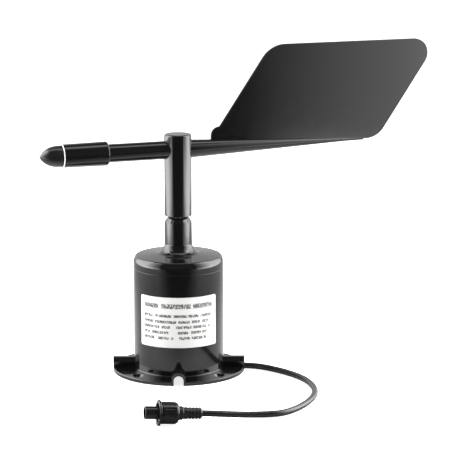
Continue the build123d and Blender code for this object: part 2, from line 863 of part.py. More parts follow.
with BuildPart() as board_screws:
    for angle in post_angles:
        with BuildSketch(Plane.XY.offset(board_bottom)):
            with PolarLocations(post_circle_radius, 1, angle):
                Circle(screw_head_radius)
        extrude(amount=-screw_head_height)
        with BuildSketch(Plane.XY.offset(board_bottom)):
            with PolarLocations(post_circle_radius, 1, angle):
                Circle(screw_radius)
        extrude(amount=board_thickness + 6.0)
save(board_screws, "board_screws")

with BuildPart() as hall_sensors:
    with BuildSketch(Plane.XY.offset(board_top)):
        with PolarLocations(sensor_circle_radius, sensor_count):
            Rectangle(1.6, 2.9)
    extrude(amount=1.1)
save(hall_sensors, "hall_sensors")

with BuildPart() as board_chips:
    with BuildSketch(Plane.XY.offset(board_top)):
        with Locations((0, -20.0)):
            Rectangle(7.0, 7.0)
        with Locations((19.0, 6.0)):
            Rectangle(4.0, 5.0)
        with Locations((-19.0, 6.0)):
            Rectangle(4.0, 5.0)
    extrude(amount=1.2)
save(board_chips, "board_chips")

with BuildPart() as board_capacitors:
    with BuildSketch(Plane.XY.offset(board_bottom)):
        with Locations((14.0, 12.0), (14.0, -6.0)):
            Circle(3.15)
    extrude(amount=-7.0)
    fillet(board_capacitors.edges().group_by(Axis.Z)[0], 0.5)
save(board_capacitors, "board_capacitors")

header_x = -14.0
header_depth = 8.0
header_pitch = 2.5
lead_count = 4
with BuildPart() as lead_header:
    with BuildSketch(Plane.XY.offset(board_bottom)):
        with Locations((header_x, 0)):
            Rectangle(5.0, lead_count * header_pitch + 1.5)
    extrude(amount=-header_depth)
save(lead_header, "lead_header")

# ---------------------------------------------------------------- cable, leads and plug
plug_turn = math.radians(plug_yaw)
plug_rise = math.radians(plug_tilt)
plug_direction = Vector(
    -math.cos(plug_turn) * math.cos(plug_rise),
    -math.sin(plug_turn) * math.cos(plug_rise),
    math.sin(plug_rise),
)
# The nut's ring is what the plug rests on
plug_centre = Vector(-14.5, -165.5, nut_ring_radius * math.cos(plug_rise) + 0.15)
plug_plane = Plane(
    origin=plug_centre,
    x_dir=plug_direction,
    z_dir=(-math.sin(plug_turn), math.cos(plug_turn), 0),
)
plug_axis = Axis(plug_centre, plug_direction)
boot_front = -nut_ring_thickness / 2 - nut_length - nut_neck_gap
boot_rear = boot_front - boot_length


def on_plug_axis(distance):
    """A point on the plug's axis, measured from its ring towards the nose."""
    return plug_centre + plug_direction * distance


floor_height = cable_radius + 0.1
cable_start = 4.0
cable_points = [
    Vector(cable_start, 0, cable_height),
    Vector(20.0, 0, cable_height),
    Vector(37.0, 0, 3.7),
    Vector(54.0, 0.2, floor_height),
    Vector(67.0, -2.7, floor_height),
    Vector(79.3, -12.3, floor_height),
    Vector(92.4, -26.2, floor_height),
    Vector(102.0, -41.0, floor_height),
    Vector(107.8, -57.5, floor_height),
    Vector(110.2, -76.0, floor_height),
    Vector(108.2, -94.6, floor_height),
    Vector(102.2, -112.2, floor_height),
    Vector(93.4, -129.0, floor_height),
    Vector(80.5, -143.2, floor_height),
    Vector(62.0, -146.7, floor_height + 0.2),
    Vector(44.6, -151.6, 4.4),
    on_plug_axis(boot_rear - 8.6),
    on_plug_axis(boot_rear + 9.4),
]

cable_radii = []
for before, corner, after in zip(cable_points, cable_points[1:], cable_points[2:]):
    incoming = corner - before
    outgoing = after - corner
    half_turn = math.radians(incoming.get_angle(outgoing)) / 2
    shorter_run = min(incoming.length, outgoing.length)
    cable_radii.append(0.45 * shorter_run / math.tan(half_turn))
print("cable radii", [round(radius, 1) for radius in cable_radii])

with BuildPart() as cable:
    with BuildLine() as cable_path:
        FilletPolyline(*cable_points, radius=cable_radii)
    with BuildSketch(Plane(origin=cable_points[0], z_dir=cable_points[1] - cable_points[0])):
        Circle(cable_radius)
    sweep(path=cable_path.wires()[0])
cable_length = cable_path.wires()[0].length
section_volume = math.pi * cable_radius**2 * cable_length
print("cable length", round(cable_length, 1), "volume ratio", round(cable.part.volume / section_volume, 4))
save(cable, "cable")

with BuildPart() as cable_grommet:
    with BuildSketch(Plane.YZ.offset(outlet_front - grommet_length)):
        with Locations((0, cable_height)):
            Circle(grommet_radius)
    extrude(amount=grommet_length)
    with BuildSketch(Plane.YZ.offset(outlet_front)):
        with Locations((0, cable_height)):
            Circle(grommet_flange_radius)
    extrude(amount=grommet_flange)
    with BuildSketch(Plane.YZ.offset(outlet_front - grommet_length)):
        with Locations((0, cable_height)):
            Circle(cable_radius)
    extrude(amount=grommet_length + grommet_flange, mode=Mode.SUBTRACT)
save(cable_grommet, "cable_grommet")

lead_names = ("lead_red", "lead_black", "lead_yellow", "lead_green")
for index, lead_name in enumerate(lead_names):
    place = index - (lead_count - 1) / 2
    lead_points = [
        Vector(cable_start, place * lead_pitch, cable_height),
        Vector(-2.0, place * lead_pitch, cable_height),
        Vector(-2.0, place * lead_pitch, cover_top + 6.0),
        Vector(header_x, place * header_pitch, board_bottom - header_depth - 10.0),
        Vector(header_x, place * header_pitch, board_bottom - header_depth),
    ]
    with BuildPart() as lead:
        with BuildLine() as lead_path:
            FilletPolyline(*lead_points, radius=(2.0, 5.0, 5.0))
        with BuildSketch(Plane(origin=lead_points[0], z_dir=(-1, 0, 0))):
            Circle(lead_radius)
        sweep(path=lead_path.wires()[0])
    save(lead, lead_name)

nut_front = nut_ring_thickness / 2
nut_rear = -nut_ring_thickness / 2 - nut_length
nut_wall_front = nut_rear + nut_rear_wall
with BuildPart() as coupling_nut:
    with BuildSketch(plug_plane):
        with BuildLine():
            Polyline(
                (nut_front, nut_bore_radius),
                (nut_front, nut_ring_radius - 0.6),
                (nut_front - 0.6, nut_ring_radius),
                (nut_front - nut_ring_thickness + 0.6, nut_ring_radius),
                (nut_front - nut_ring_thickness, nut_ring_radius - 0.6),
                (nut_front - nut_ring_thickness, nut_radius - 0.6),
                (nut_front - nut_ring_thickness - 1.0, nut_radius - 0.6),
                (nut_front - nut_ring_thickness - 1.3, nut_radius),
                (nut_rear + 2.4, nut_radius),
                (nut_rear + 2.1, nut_radius - 0.5),
            )
            RadiusArc((nut_rear + 2.1, nut_radius - 0.5), (nut_rear, nut_radius - 2.6), -2.1)
            Polyline(
                (nut_rear, nut_radius - 2.6),
                (nut_rear, plug_neck_radius + nut_neck_gap),
                (nut_wall_front, plug_neck_radius + nut_neck_gap),
                (nut_wall_front, nut_bore_radius),
                (nut_front, nut_bore_radius),
            )
        make_face()
    revolve(axis=plug_axis)
    # Shallow grip flutes
    flute_plane = Plane(origin=on_plug_axis(nut_rear + 3.0), x_dir=(0, 0, 1), z_dir=plug_direction)
    with BuildSketch(flute_plane):
        with PolarLocations(nut_radius + 0.6, 10):
            Circle(1.1)
    extrude(amount=nut_length - 6.4, mode=Mode.SUBTRACT)
save(coupling_nut, "coupling_nut")

collar_rear = nut_wall_front + 0.5
with BuildPart() as plug_body:
    with BuildSketch(plug_plane):
        with BuildLine():
            Polyline(
                (boot_front - 3.0, 0),
                (plug_nose_length - 7.0, 0),
                (plug_nose_length - 7.0, plug_nose_radius - plug_nose_wall),
                (plug_nose_length, plug_nose_radius - plug_nose_wall),
                (plug_nose_length, plug_nose_radius - 0.3),
                (plug_nose_length - 0.3, plug_nose_radius),
                (collar_rear + 2.2, plug_nose_radius),
                (collar_rear + 2.2, plug_collar_radius),
                (collar_rear, plug_collar_radius),
                (collar_rear, plug_neck_radius),
                (boot_front, plug_neck_radius),
                (boot_front, plug_neck_radius - 1.7),
                (boot_front - 3.0, plug_neck_radius - 1.7),
                close=True,
            )
        make_face()
    revolve(axis=plug_axis)
save(plug_body, "plug_body")

with BuildPart() as plug_pins:
    pin_plane = Plane(
        origin=on_plug_axis(plug_nose_length - 7.0), x_dir=(0, 0, 1), z_dir=plug_direction
    )
    with BuildSketch(pin_plane):
        with PolarLocations(pin_circle_radius, pin_count, 45):
            Circle(pin_radius)
    extrude(amount=6.2)
save(plug_pins, "plug_pins")

with BuildPart() as plug_seal:
    with BuildSketch(plug_plane):
        with Locations((collar_rear + 2.2 + 0.7, plug_nose_radius + 0.7)):
            Circle(0.7)
    revolve(axis=plug_axis)
save(plug_seal, "plug_seal")

with BuildPart() as plug_boot:
    boot_grooves = 4
    groove_pitch = 2.6
    with BuildSketch(plug_plane):
        with BuildLine():
            Polyline(
                (boot_front, plug_neck_radius - 1.7),
                (boot_front, boot_head_radius),
                (boot_front - boot_head_length, boot_head_radius),
                (boot_front - boot_head_length - 0.5, boot_radius),
                (boot_rear + 0.9, boot_radius),
                (boot_rear, boot_radius - 0.9),
                (boot_rear, cable_radius),
                (boot_front - 3.0, cable_radius),
                (boot_front - 3.0, plug_neck_radius - 1.7),
                close=True,
            )
        make_face()
        for groove in range(boot_grooves):
            with Locations((boot_rear + 2.6 + groove * groove_pitch, boot_radius)):
                Rectangle(1.1, 1.4, mode=Mode.SUBTRACT)
    revolve(axis=plug_axis)
save(plug_boot, "plug_boot")
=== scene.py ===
"""Wind vane: the visible pieces, finishes, light and camera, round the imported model.

Everything is in metres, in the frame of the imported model: +Z is up along the spindle, and the
origin is the centre of the bolt circle on the underside of the flange.
"""

import json
import math

import bmesh
import bpy
from mathutils import Matrix, Vector


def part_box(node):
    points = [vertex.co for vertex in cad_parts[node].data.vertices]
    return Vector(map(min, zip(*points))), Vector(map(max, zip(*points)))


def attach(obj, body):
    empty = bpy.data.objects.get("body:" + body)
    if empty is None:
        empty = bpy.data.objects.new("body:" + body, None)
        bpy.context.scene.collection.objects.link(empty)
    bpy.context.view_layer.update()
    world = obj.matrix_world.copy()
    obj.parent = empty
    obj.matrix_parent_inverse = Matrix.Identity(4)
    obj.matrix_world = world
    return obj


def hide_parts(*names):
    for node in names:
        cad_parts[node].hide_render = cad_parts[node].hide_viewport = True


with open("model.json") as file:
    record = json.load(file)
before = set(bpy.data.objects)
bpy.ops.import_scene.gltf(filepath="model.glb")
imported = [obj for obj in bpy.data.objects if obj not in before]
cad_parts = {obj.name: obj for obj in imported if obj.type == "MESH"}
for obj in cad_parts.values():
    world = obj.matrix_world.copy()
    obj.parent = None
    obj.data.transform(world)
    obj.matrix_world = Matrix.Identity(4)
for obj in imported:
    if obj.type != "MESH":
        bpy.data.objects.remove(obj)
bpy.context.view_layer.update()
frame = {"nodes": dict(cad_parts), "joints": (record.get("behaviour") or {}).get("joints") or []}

bl_info = {
    "name": "Wind Vane Parts",
    "version": (1, 0, 0),
    "blender": (4, 5, 0),
    "location": "View3D > Sidebar > Wind Vane",
    "description": "Builds the casing, vane, cable and plug of a wind direction sensor",
    "category": "Add Mesh",
}

MM = 0.001
FULL_TURN = 2 * math.pi
WHITE = (1.0, 1.0, 1.0, 1.0)
SMOOTH_LIMIT = math.radians(32)
SHARP_LIMIT = math.radians(60)
LATHE_STEP = 11
BODY_STEPS = 192
ROLL_STEPS = 20
LUG_SHARE = 0.998
OGIVE_STEPS = 24
OGIVE_START = 0.12
OGIVE_BLUNTNESS = 0.9
PLATE_STEP = 3
MERGE_DISTANCE = 2e-6
SAME_PLACE = 1e-6
NEAR = 1e-5
EDGE_ROUND = 0.25 * MM
TUNNEL_COUNT = 4
SCREW_ANGLES = (30, 150, 270)
POST_ANGLES = (90, 210, 330)
POST_CIRCLE = 26 * MM
BOSS_RADIUS = 3.5 * MM
SCREW_BORE = 1.55 * MM
LEDGE_WIDTH = 3.3 * MM


def mm(value):
    """Millimetres as metres."""
    return value * MM


# ------------------------------------------------------------------ places read from the frame
FLANGE_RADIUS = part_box("body_shell")[1].x
SEAM_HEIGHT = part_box("body_shell")[1].z
NECK_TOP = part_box("top_cap")[1].z
LABEL_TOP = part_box("label")[1].z
hub_low, hub_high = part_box("vane_hub")
HUB_RADIUS = hub_high.x
nut_joint = next(joint for joint in frame["joints"] if joint["name"] == "coupling_nut_spin")
PLUG_CENTRE = Vector(nut_joint["pos_m"])
PLUG_DIRECTION = Vector(nut_joint["axis"]).normalized()


def mean_place(node):
    """Middle of a node's box."""
    low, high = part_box(node)
    return (low + high) / 2


weight_place = mean_place("counterweight")
ARM_CENTRE = Vector((0, 0, weight_place.z))
NOSE_DIRECTION = (weight_place - ARM_CENTRE).normalized()
TAIL_DIRECTION = -NOSE_DIRECTION


def reach(node, direction):
    """Nearest and farthest distance of a node from the arm's centre, along a direction."""
    vertices = frame["nodes"][node].data.vertices
    along = [(vertex.co - ARM_CENTRE).dot(direction) for vertex in vertices]
    return min(along), max(along)


def girth(node):
    """Largest distance of a node from the line that the nose and tail share."""
    largest = 0.0
    for vertex in frame["nodes"][node].data.vertices:
        offset = vertex.co - ARM_CENTRE
        across = offset - NOSE_DIRECTION * offset.dot(NOSE_DIRECTION)
        largest = max(largest, across.length)
    return largest


# ------------------------------------------------------------------ sizes and colours to change
def Length(name, description, default):
    """A length setting, with its default in millimetres."""
    return bpy.props.FloatProperty(
        name=name, description=description, default=mm(default), unit="LENGTH"
    )


def Number(name, description, default):
    """A plain number setting."""
    return bpy.props.FloatProperty(name=name, description=description, default=default, min=0.0)


def Colour(name, description, default):
    """A colour setting."""
    return bpy.props.FloatVectorProperty(
        name=name, description=description, default=default, subtype="COLOR", size=3, min=0.0,
        max=1.0,
    )


class CasingSizes(bpy.types.PropertyGroup):
    """Flanged round body."""

    foot_radius: Length("Foot Radius", "Barrel radius where it meets the flange", 37.6)
    top_radius: Length("Top Radius", "Barrel radius at the seam", 37.2)
    cavity_radius: Length("Cavity Radius", "Inside radius of the barrel", 34.3)
    flange_thickness: Length("Flange Thickness", "Height of the flange", 3.2)
    foot_round: Length("Foot Round", "Fillet between flange and barrel", 0.7)
    hood_width: Length("Hood Width", "Width of the hood over each tunnel", 11)
    hood_height: Length("Hood Height", "Top of the hoods above the underside", 10.9)
    hood_chamfer: Length("Hood Chamfer", "Chamfer along the top of each hood", 3.4)
    tunnel_width: Length("Tunnel Width", "Width of each cable tunnel", 8)
    tunnel_height: Length("Tunnel Height", "Height of each arched tunnel", 8.3)
    bolt_circle: Length("Bolt Circle Radius", "Radius of the mounting holes' circle", 47)
    bolt_radius: Length("Bolt Hole Radius", "Radius of a mounting hole", 2.75)
    countersink_radius: Length("Countersink Radius", "Radius at the top of a mounting hole", 4.9)


class CapSizes(bpy.types.PropertyGroup):
    """Top cap with its dish and neck."""

    skirt: Length("Skirt", "Straight rim above the seam", 4.4)
    roll_width: Length("Roll Width", "Width of the rounded shoulder", 2.6)
    roll_height: Length("Roll Height", "Height of the rounded shoulder", 6.0)
    dish_rise: Length("Dish Rise", "Rise from the crest to the foot of the neck", 2.1)
    neck_foot_radius: Length("Neck Foot Radius", "Neck radius at its foot", 11.6)
    neck_foot_round: Length("Neck Foot Round", "Fillet round the neck", 8.5)
    chamfer_width: Length("Chamfer Width", "Width of the chamfer at the top of the neck", 2.85)
    chamfer_height: Length("Chamfer Height", "Height of the chamfer at the top of the neck", 4)
    wall: Length("Wall", "Wall of the spigot and of the bearing housing", 3)


class HubSizes(bpy.types.PropertyGroup):
    """Upright hub that turns on the spindle."""

    edge_round: Length("Edge Round", "Round at the top edge", 1.7)
    foot_chamfer: Length("Foot Chamfer", "Chamfer at the lower edge", 0.4)
    insert_length: Length("Insert Length", "Depth of the bore for the insert", 37)


class NoseSizes(bpy.types.PropertyGroup):
    """Nose arm, weighted sleeve and cone."""

    arm_radius: Length("Arm Radius", "Radius of the nose arm", 7.5)
    rear_chamfer: Length("Sleeve Rear Chamfer", "Chamfer at the rear of the sleeve", 0.8)
    sleeve_front_radius: Length("Sleeve Front Radius", "Radius of the sleeve at the cone", 9.5)
    # The rim is the front end of the sleeve, whose outer faces are coated near white as a painted
    # highlight
    rim_width: Length("Rim Width", "Width of the bright rim at the front of the sleeve", 0.65)
    cone_radius: Length("Cone Radius", "Radius at the base of the nose cone", 8.75)
    cone_length: Length("Cone Length", "Length of the nose cone that shows", 18.6)


class TailSizes(bpy.types.PropertyGroup):
    """Tapered boom and flat fin."""

    fin_root: Length("Fin Root", "Distance from the spindle to the front of the fin's root", 24.6)
    fin_length: Length("Fin Length", "Length of the fin along the boom", 154.4)
    taper_length: Length("Taper Length", "Distance from the spindle to the fast taper's end", 148)
    taper_radius: Length("Taper Radius", "Boom radius where the fast taper ends", 1.45)
    tip_radius: Length("Tip Radius", "Boom radius at its tip", 1.2)
    fin_slant: Number("Fin Slant", "Run of each end edge of the fin for one of height", 0.688)
    front_round: Length("Front Round", "Round at the upper front corner", 25)
    top_round: Length("Top Round", "Round at the upper rear corner", 12.5)
    bottom_round: Length("Bottom Round", "Round at the lower rear corner", 19.5)
    lug_radius: Length("Lug Radius", "Radius of the lug in front of the fin", 7.5)
    lug_height: Length("Lug Height", "Height of the lug above the boom's axis", 17)
    edge_round: Length("Edge Round", "Round along the edges of the fin", 0.45)


class CableSizes(bpy.types.PropertyGroup):
    """Signal cable."""

    diameter: Length("Diameter", "Outer diameter of the jacket", 5)
    length: Length("Length", "Length from the inlet to the plug", 300)


class PlugSizes(bpy.types.PropertyGroup):
    """Waterproof plug with a coupling nut."""

    ring_radius: Length("Ring Radius", "Radius of the ring at the front of the nut", 10.1)
    ring_thickness: Length("Ring Thickness", "Thickness of that ring", 1.8)
    nut_radius: Length("Nut Radius", "Radius of the nut behind the ring", 8.6)
    nut_length: Length("Nut Length", "Length of the nut behind the ring", 14.3)
    nose_radius: Length("Nose Radius", "Radius of the plug nose", 5.05)
    nose_length: Length("Nose Length", "Reach of the nose from the middle of the ring", 11)
    boot_radius: Length("Boot Radius", "Radius of the ribbed strain relief", 4.65)
    boot_head_radius: Length("Boot Head Radius", "Radius of the collar in front of the ribs", 5.35)
    boot_length: Length("Boot Length", "Length of the strain relief", 17.8)


class Finishes(bpy.types.PropertyGroup):
    """Colours of the visible materials."""

    casing_black: Colour("Casing Black", "Colour of the casing and vane", (0.0035, 0.0035, 0.0036))
    cone_black: Colour("Cone Black", "Colour of the nose cone", (0.006, 0.006, 0.006))
    # Near-white colour of the sleeve's front rim: a painted highlight along its edge
    rim_highlight_white: Colour("Rim White", "Colour of the rim behind the cone", (0.8, 0.8, 0.79))
    rubber_black: Colour("Rubber Black", "Colour of cable and rubber", (0.004, 0.004, 0.004))
    label_white: Colour("Label White", "Colour of the label film", (0.52, 0.52, 0.51))
    print_grey: Colour("Print Grey", "Colour of the marks on the label", (0.05, 0.05, 0.05))


class StageSettings(bpy.types.PropertyGroup):
    """Camera, floor and light."""

    camera_place: bpy.props.FloatVectorProperty(
        name="Camera Place", description="Where the camera stands", subtype="TRANSLATION",
        unit="LENGTH", size=3, default=(0.012, -1.715, 0.466),
    )
    camera_pitch: bpy.props.FloatProperty(
        name="Camera Pitch", description="How far the camera looks down",
        subtype="ANGLE", default=math.radians(11.52),
    )
    camera_turn: bpy.props.FloatProperty(
        name="Camera Turn", description="Turn of the camera about the vertical",
        subtype="ANGLE", default=math.radians(-1.1),
    )
    focal_length: Number("Focal Length", "Lens, on a 36 mm sensor", 163.5)
    side_light: Number("Side Light", "Strength of the two tall side panels", 9.0)
    room_light: Number("Room Light", "Even light of the room", 0.14)
    wall_light: Number("Wall Light", "Brightness of the back wall straight behind", 0.6)
    strip_light: Number("Strip Light", "Strength of the narrow strip overhead", 2.5)
    floor_glow: Number("Floor Glow", "Light that the pale floor adds of its own", 0.8)
    # Depth of the painted shade on the floor in front, as seen in gloss
    front_dark: Number("Front Dark", "How much of the floor in front shows in gloss", 0.04)


# ------------------------------------------------------------------ modelling helpers
def deselect():
    """Leave edit mode and select nothing."""
    if bpy.context.object is not None and bpy.context.object.mode != "OBJECT":
        bpy.ops.object.mode_set(mode="OBJECT")
    bpy.ops.object.select_all(action="DESELECT")


def pick(piece):
    """Make a piece the only selected object, and the active one."""
    deselect()
    piece.select_set(True)
    bpy.context.view_layer.objects.active = piece


def start_outline(name, place):
    """Begin a new shape from one vertex, left in edit mode."""
    deselect()
    bpy.ops.mesh.primitive_plane_add(size=MM)
    piece = named(name)
    bpy.ops.object.mode_set(mode="EDIT")
    bpy.ops.mesh.select_mode(type="VERT")
    bpy.ops.mesh.select_all(action="SELECT")
    bpy.ops.mesh.merge(type="CENTER")
    bpy.ops.transform.translate(value=place)
    return piece


def merge_close():
    """In edit mode, merge the vertices that coincide."""
    bpy.ops.mesh.select_all(action="SELECT")
    bpy.ops.mesh.remove_doubles(threshold=MERGE_DISTANCE)


def draw_through(places):
    """Extrude the selected vertex along straight runs from place to place."""
    for start, end in zip(places, places[1:]):
        bpy.ops.mesh.extrude_region_move(TRANSFORM_OT_translate={"value": end - start})
    merge_close()


def round_corners(piece, corners, rounds, step):
    """Bevel each corner of an outline to its radius, one segment for so many degrees of turn."""
    for index, radius in enumerate(rounds):
        if radius > 0:
            corner = corners[index]
            turn = (corner - corners[index - 1]).angle(corners[(index + 1) % len(corners)] - corner)
            select_where(piece, lambda place, corner=corner: (place - corner).length < SAME_PLACE)
            # This profile passes through the middle of a true arc, whatever the corner's angle
            profile = (1 - 0.5 / (1 + math.cos(turn / 2))) ** 2
            segments = max(2, round(math.degrees(turn) / step))
            bpy.ops.mesh.bevel(
                offset=radius * math.tan(turn / 2), segments=segments, profile=profile,
                affect="VERTICES", clamp_overlap=False,
            )
    bpy.ops.mesh.select_all(action="SELECT")


def named(name):
    """Name the object that an operator has just added."""
    piece = bpy.context.object
    piece.name = name
    piece.data.name = name
    return piece


def select_where(piece, test, edges=False):
    """In edit mode, select just the vertices or edges whose middle passes a test."""
    mesh = bmesh.from_edit_mesh(piece.data)
    bpy.ops.mesh.select_mode(type="EDGE" if edges else "VERT")
    bpy.ops.mesh.select_all(action="DESELECT")
    for element in mesh.edges if edges else mesh.verts:
        ends = element.verts if edges else [element]
        if test(sum((end.co for end in ends), Vector()) / len(ends)):
            element.select_set(True)
    mesh.select_flush_mode()
    bmesh.update_edit_mesh(piece.data)


def close_mesh():
    """In edit mode, merge what coincides and turn every face outwards."""
    merge_close()
    bpy.ops.mesh.normals_make_consistent(inside=False)


def apply_modifier(piece, kind, **settings):
    """Add a modifier to a piece, set it and apply it."""
    pick(piece)
    bpy.ops.object.modifier_add(type=kind)
    modifier = piece.modifiers[-1]
    for key, value in settings.items():
        setattr(modifier, key, value)
    bpy.ops.object.modifier_apply(modifier=modifier.name)


def combine(piece, other, operation):
    """Join another shape to a piece, cut it away or keep what they share, and remove it."""
    apply_modifier(piece, "BOOLEAN", operation=operation, solver="EXACT", object=other)
    bpy.data.objects.remove(other)


def soften(piece, width, segments=2, limit=SMOOTH_LIMIT):
    """Round every edge sharper than a limit."""
    apply_modifier(
        piece, "BEVEL", width=width, segments=segments, limit_method="ANGLE", angle_limit=limit,
        use_clamp_overlap=True, harden_normals=False, miter_outer="MITER_ARC",
    )


def lathe(name, outline, steps, closed=True):
    """Turn an outline of (radius, height) or (radius, height, round) corners about the Z axis.

    The corners are laid down by extruding one vertex, each rounded one is bevelled to its radius,
    and the profile is then spun. A closed outline makes a ring, and an open one starts and ends on
    the axis.
    """
    corners = [Vector((radius, 0, height)) for radius, height, *_ in outline]
    rounds = [corner[2] if len(corner) > 2 else 0.0 for corner in outline]
    piece = start_outline(name, corners[0])
    draw_through(corners + corners[:1] if closed else corners)
    round_corners(piece, corners, rounds, LATHE_STEP)
    bpy.ops.mesh.spin(steps=steps, angle=FULL_TURN, center=(0, 0, 0), axis=(0, 0, 1))
    close_mesh()
    bpy.ops.object.mode_set(mode="OBJECT")
    return piece


def lay_along(piece, origin, direction):
    """Turn a piece that was made on the Z axis to lie along a direction, and settle it there."""
    pick(piece)
    turn = direction.to_track_quat("Z", "Y").to_matrix().to_4x4()
    piece.matrix_world = Matrix.Translation(origin) @ turn
    fixed(piece)


def fixed(piece):
    """Apply the place, turn and scale of the selected piece."""
    bpy.ops.object.transform_apply(location=True, rotation=True, scale=True)
    return piece


def box_piece(name, low, high):
    """A block between two corners."""
    deselect()
    middle = (Vector(low) + Vector(high)) / 2
    size = Vector(high) - Vector(low)
    bpy.ops.mesh.primitive_cube_add(size=1, location=middle, scale=size)
    return fixed(named(name))


def rod_piece(name, radius, bottom, top, place=(0, 0), top_radius=None, sides=64):
    """A round rod or cone frustum standing along Z."""
    deselect()
    bpy.ops.mesh.primitive_cone_add(
        vertices=sides, radius1=radius, radius2=radius if top_radius is None else top_radius,
        depth=top - bottom, location=(*place, (bottom + top) / 2),
    )
    return fixed(named(name))


def on_circle(radius, degrees):
    """A place on a circle round the Z axis."""
    turn = math.radians(degrees)
    return radius * math.cos(turn), radius * math.sin(turn)


def bar_piece(name, start, end, bottom, top, width, chamfer, segments=1):
    """A level bar along X whose two upper long edges are chamfered, or rounded in segments."""
    bar = box_piece(name, (start, -width / 2, bottom), (end, width / 2, top))
    bpy.ops.object.mode_set(mode="EDIT")
    select_where(
        bar, lambda middle: abs(middle.y) > width / 2 - NEAR and middle.z > top - NEAR, True
    )
    bpy.ops.mesh.bevel(offset=chamfer, offset_type="OFFSET", segments=segments)
    bpy.ops.object.mode_set(mode="OBJECT")
    return bar


def joined(pieces):
    """Join pieces into the first of them."""
    pick(pieces[0])
    for piece in pieces:
        piece.select_set(True)
    bpy.ops.object.join()
    return pieces[0]


def copies_round(piece, count, start=0.0):
    """Copies of a piece turned evenly round Z, joined into one object."""
    turned = []
    for index in range(count):
        other = piece.copy()
        other.data = piece.data.copy()
        bpy.context.collection.objects.link(other)
        other.data.transform(Matrix.Rotation(start + index * FULL_TURN / count, 4, "Z"))
        turned.append(other)
    bpy.data.objects.remove(piece)
    return joined(turned)


def coat(piece, material):
    """Give a piece one material in place of any it has."""
    piece.data.materials.clear()
    piece.data.materials.append(material)


def settle(piece, body, finish_name, node):
    """Smooth and coat a finished piece, tie it to its body, and hide the imported node that it
    stands in for.
    """
    pick(piece)
    bpy.ops.object.shade_smooth_by_angle(angle=SMOOTH_LIMIT)
    apply_modifier(
        piece, "WEIGHTED_NORMAL", mode="FACE_AREA_WITH_ANGLE", weight=70, keep_sharp=True
    )
    coat(piece, finish(finish_name))
    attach(piece, body)
    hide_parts(node)


# ------------------------------------------------------------------ materials
class Nodes:
    """Short calls for the nodes of one tree."""

    def __init__(self, tree, coordinates):
        self.tree = tree
        self.place = self.node("ShaderNodeTexCoord").outputs[coordinates]

    def node(self, kind, **settings):
        made = self.tree.nodes.new(kind)
        for key, value in settings.items():
            setattr(made, key, value)
        return made

    def link(self, source, target):
        self.tree.links.new(source, target)

    def axes(self):
        """The X, Y and Z of the place."""
        parts = self.node("ShaderNodeSeparateXYZ")
        self.link(self.place, parts.inputs[0])
        return parts.outputs

    def math(self, operation, *values, clamp=False):
        """A math node on sockets or numbers."""
        made = self.node("ShaderNodeMath", operation=operation, use_clamp=clamp)
        for socket, value in zip(made.inputs, values):
            if isinstance(value, (int, float)):
                socket.default_value = value
            else:
                self.link(value, socket)
        return made.outputs[0]

    def product(self, first, *others):
        """Sockets or numbers multiplied in turn."""
        for other in others:
            first = self.math("MULTIPLY", first, other)
        return first

    def total(self, first, *others):
        """Sockets or numbers added in turn."""
        for other in others:
            first = self.math("ADD", first, other)
        return first


class NodeBoard(Nodes):
    """A material's node tree, with short calls for the nodes that the finishes share."""

    def __init__(self, name):
        own_name = f"vane_{name}"
        self.material = bpy.data.materials.get(own_name)
        self.fresh = self.material is None
        if self.fresh:
            self.material = bpy.data.materials.new(own_name)
            self.material.use_nodes = True
            super().__init__(self.material.node_tree, "Object")
            self.shader = self.tree.nodes["Principled BSDF"]

    def feed(self, socket, value):
        """Link a value to one of the shader's own sockets."""
        self.link(value, self.shader.inputs[socket])

    def noise(self, scale, detail=3.0, rough=0.55, stretch=None):
        """Noise of so many cycles a metre, stretched along an axis if asked."""
        texture = self.node("ShaderNodeTexNoise")
        texture.inputs["Scale"].default_value = scale
        texture.inputs["Detail"].default_value = detail
        texture.inputs["Roughness"].default_value = rough
        source = self.place
        if stretch is not None:
            mapping = self.node("ShaderNodeMapping")
            mapping.inputs["Scale"].default_value = stretch
            self.link(source, mapping.inputs["Vector"])
            source = mapping.outputs["Vector"]
        self.link(source, texture.inputs["Vector"])
        return texture.outputs["Fac"]

    def ranged(self, value, low, high, start=0.3, end=0.7):
        """A value mapped to a range."""
        span = self.node("ShaderNodeMapRange")
        span.inputs["From Min"].default_value = start
        span.inputs["From Max"].default_value = end
        span.inputs["To Min"].default_value = low
        span.inputs["To Max"].default_value = high
        self.link(value, span.inputs["Value"])
        return span.outputs["Result"]

    def blend(self, share, first, second):
        """Two colours, or a colour and a socket, mixed by a share."""
        mixer = self.node("ShaderNodeMix", data_type="RGBA")
        self.link(share, mixer.inputs["Factor"])
        if isinstance(first, bpy.types.NodeSocket):
            self.link(first, mixer.inputs[6])
        else:
            mixer.inputs[6].default_value = (*first, 1.0)
        mixer.inputs[7].default_value = (*second, 1.0)
        return mixer.outputs[2]

    def bump(self, height, depth, under=None):
        """A bump of so many metres, on top of another."""
        made = self.node("ShaderNodeBump")
        made.inputs["Distance"].default_value = depth
        self.link(height, made.inputs["Height"])
        if under is not None:
            self.link(under, made.inputs["Normal"])
        return made.outputs["Normal"]

    def set(self, **values):
        """Constant numbers on the shader's own sockets."""
        for key, value in values.items():
            self.shader.inputs[key.replace("_", " ")].default_value = value


def shades(colour, spread):
    """A colour a little darker and a little lighter."""
    darker = [channel * (1 - spread) for channel in colour]
    lighter = [min(1.0, channel * (1 + spread)) for channel in colour]
    return darker, lighter


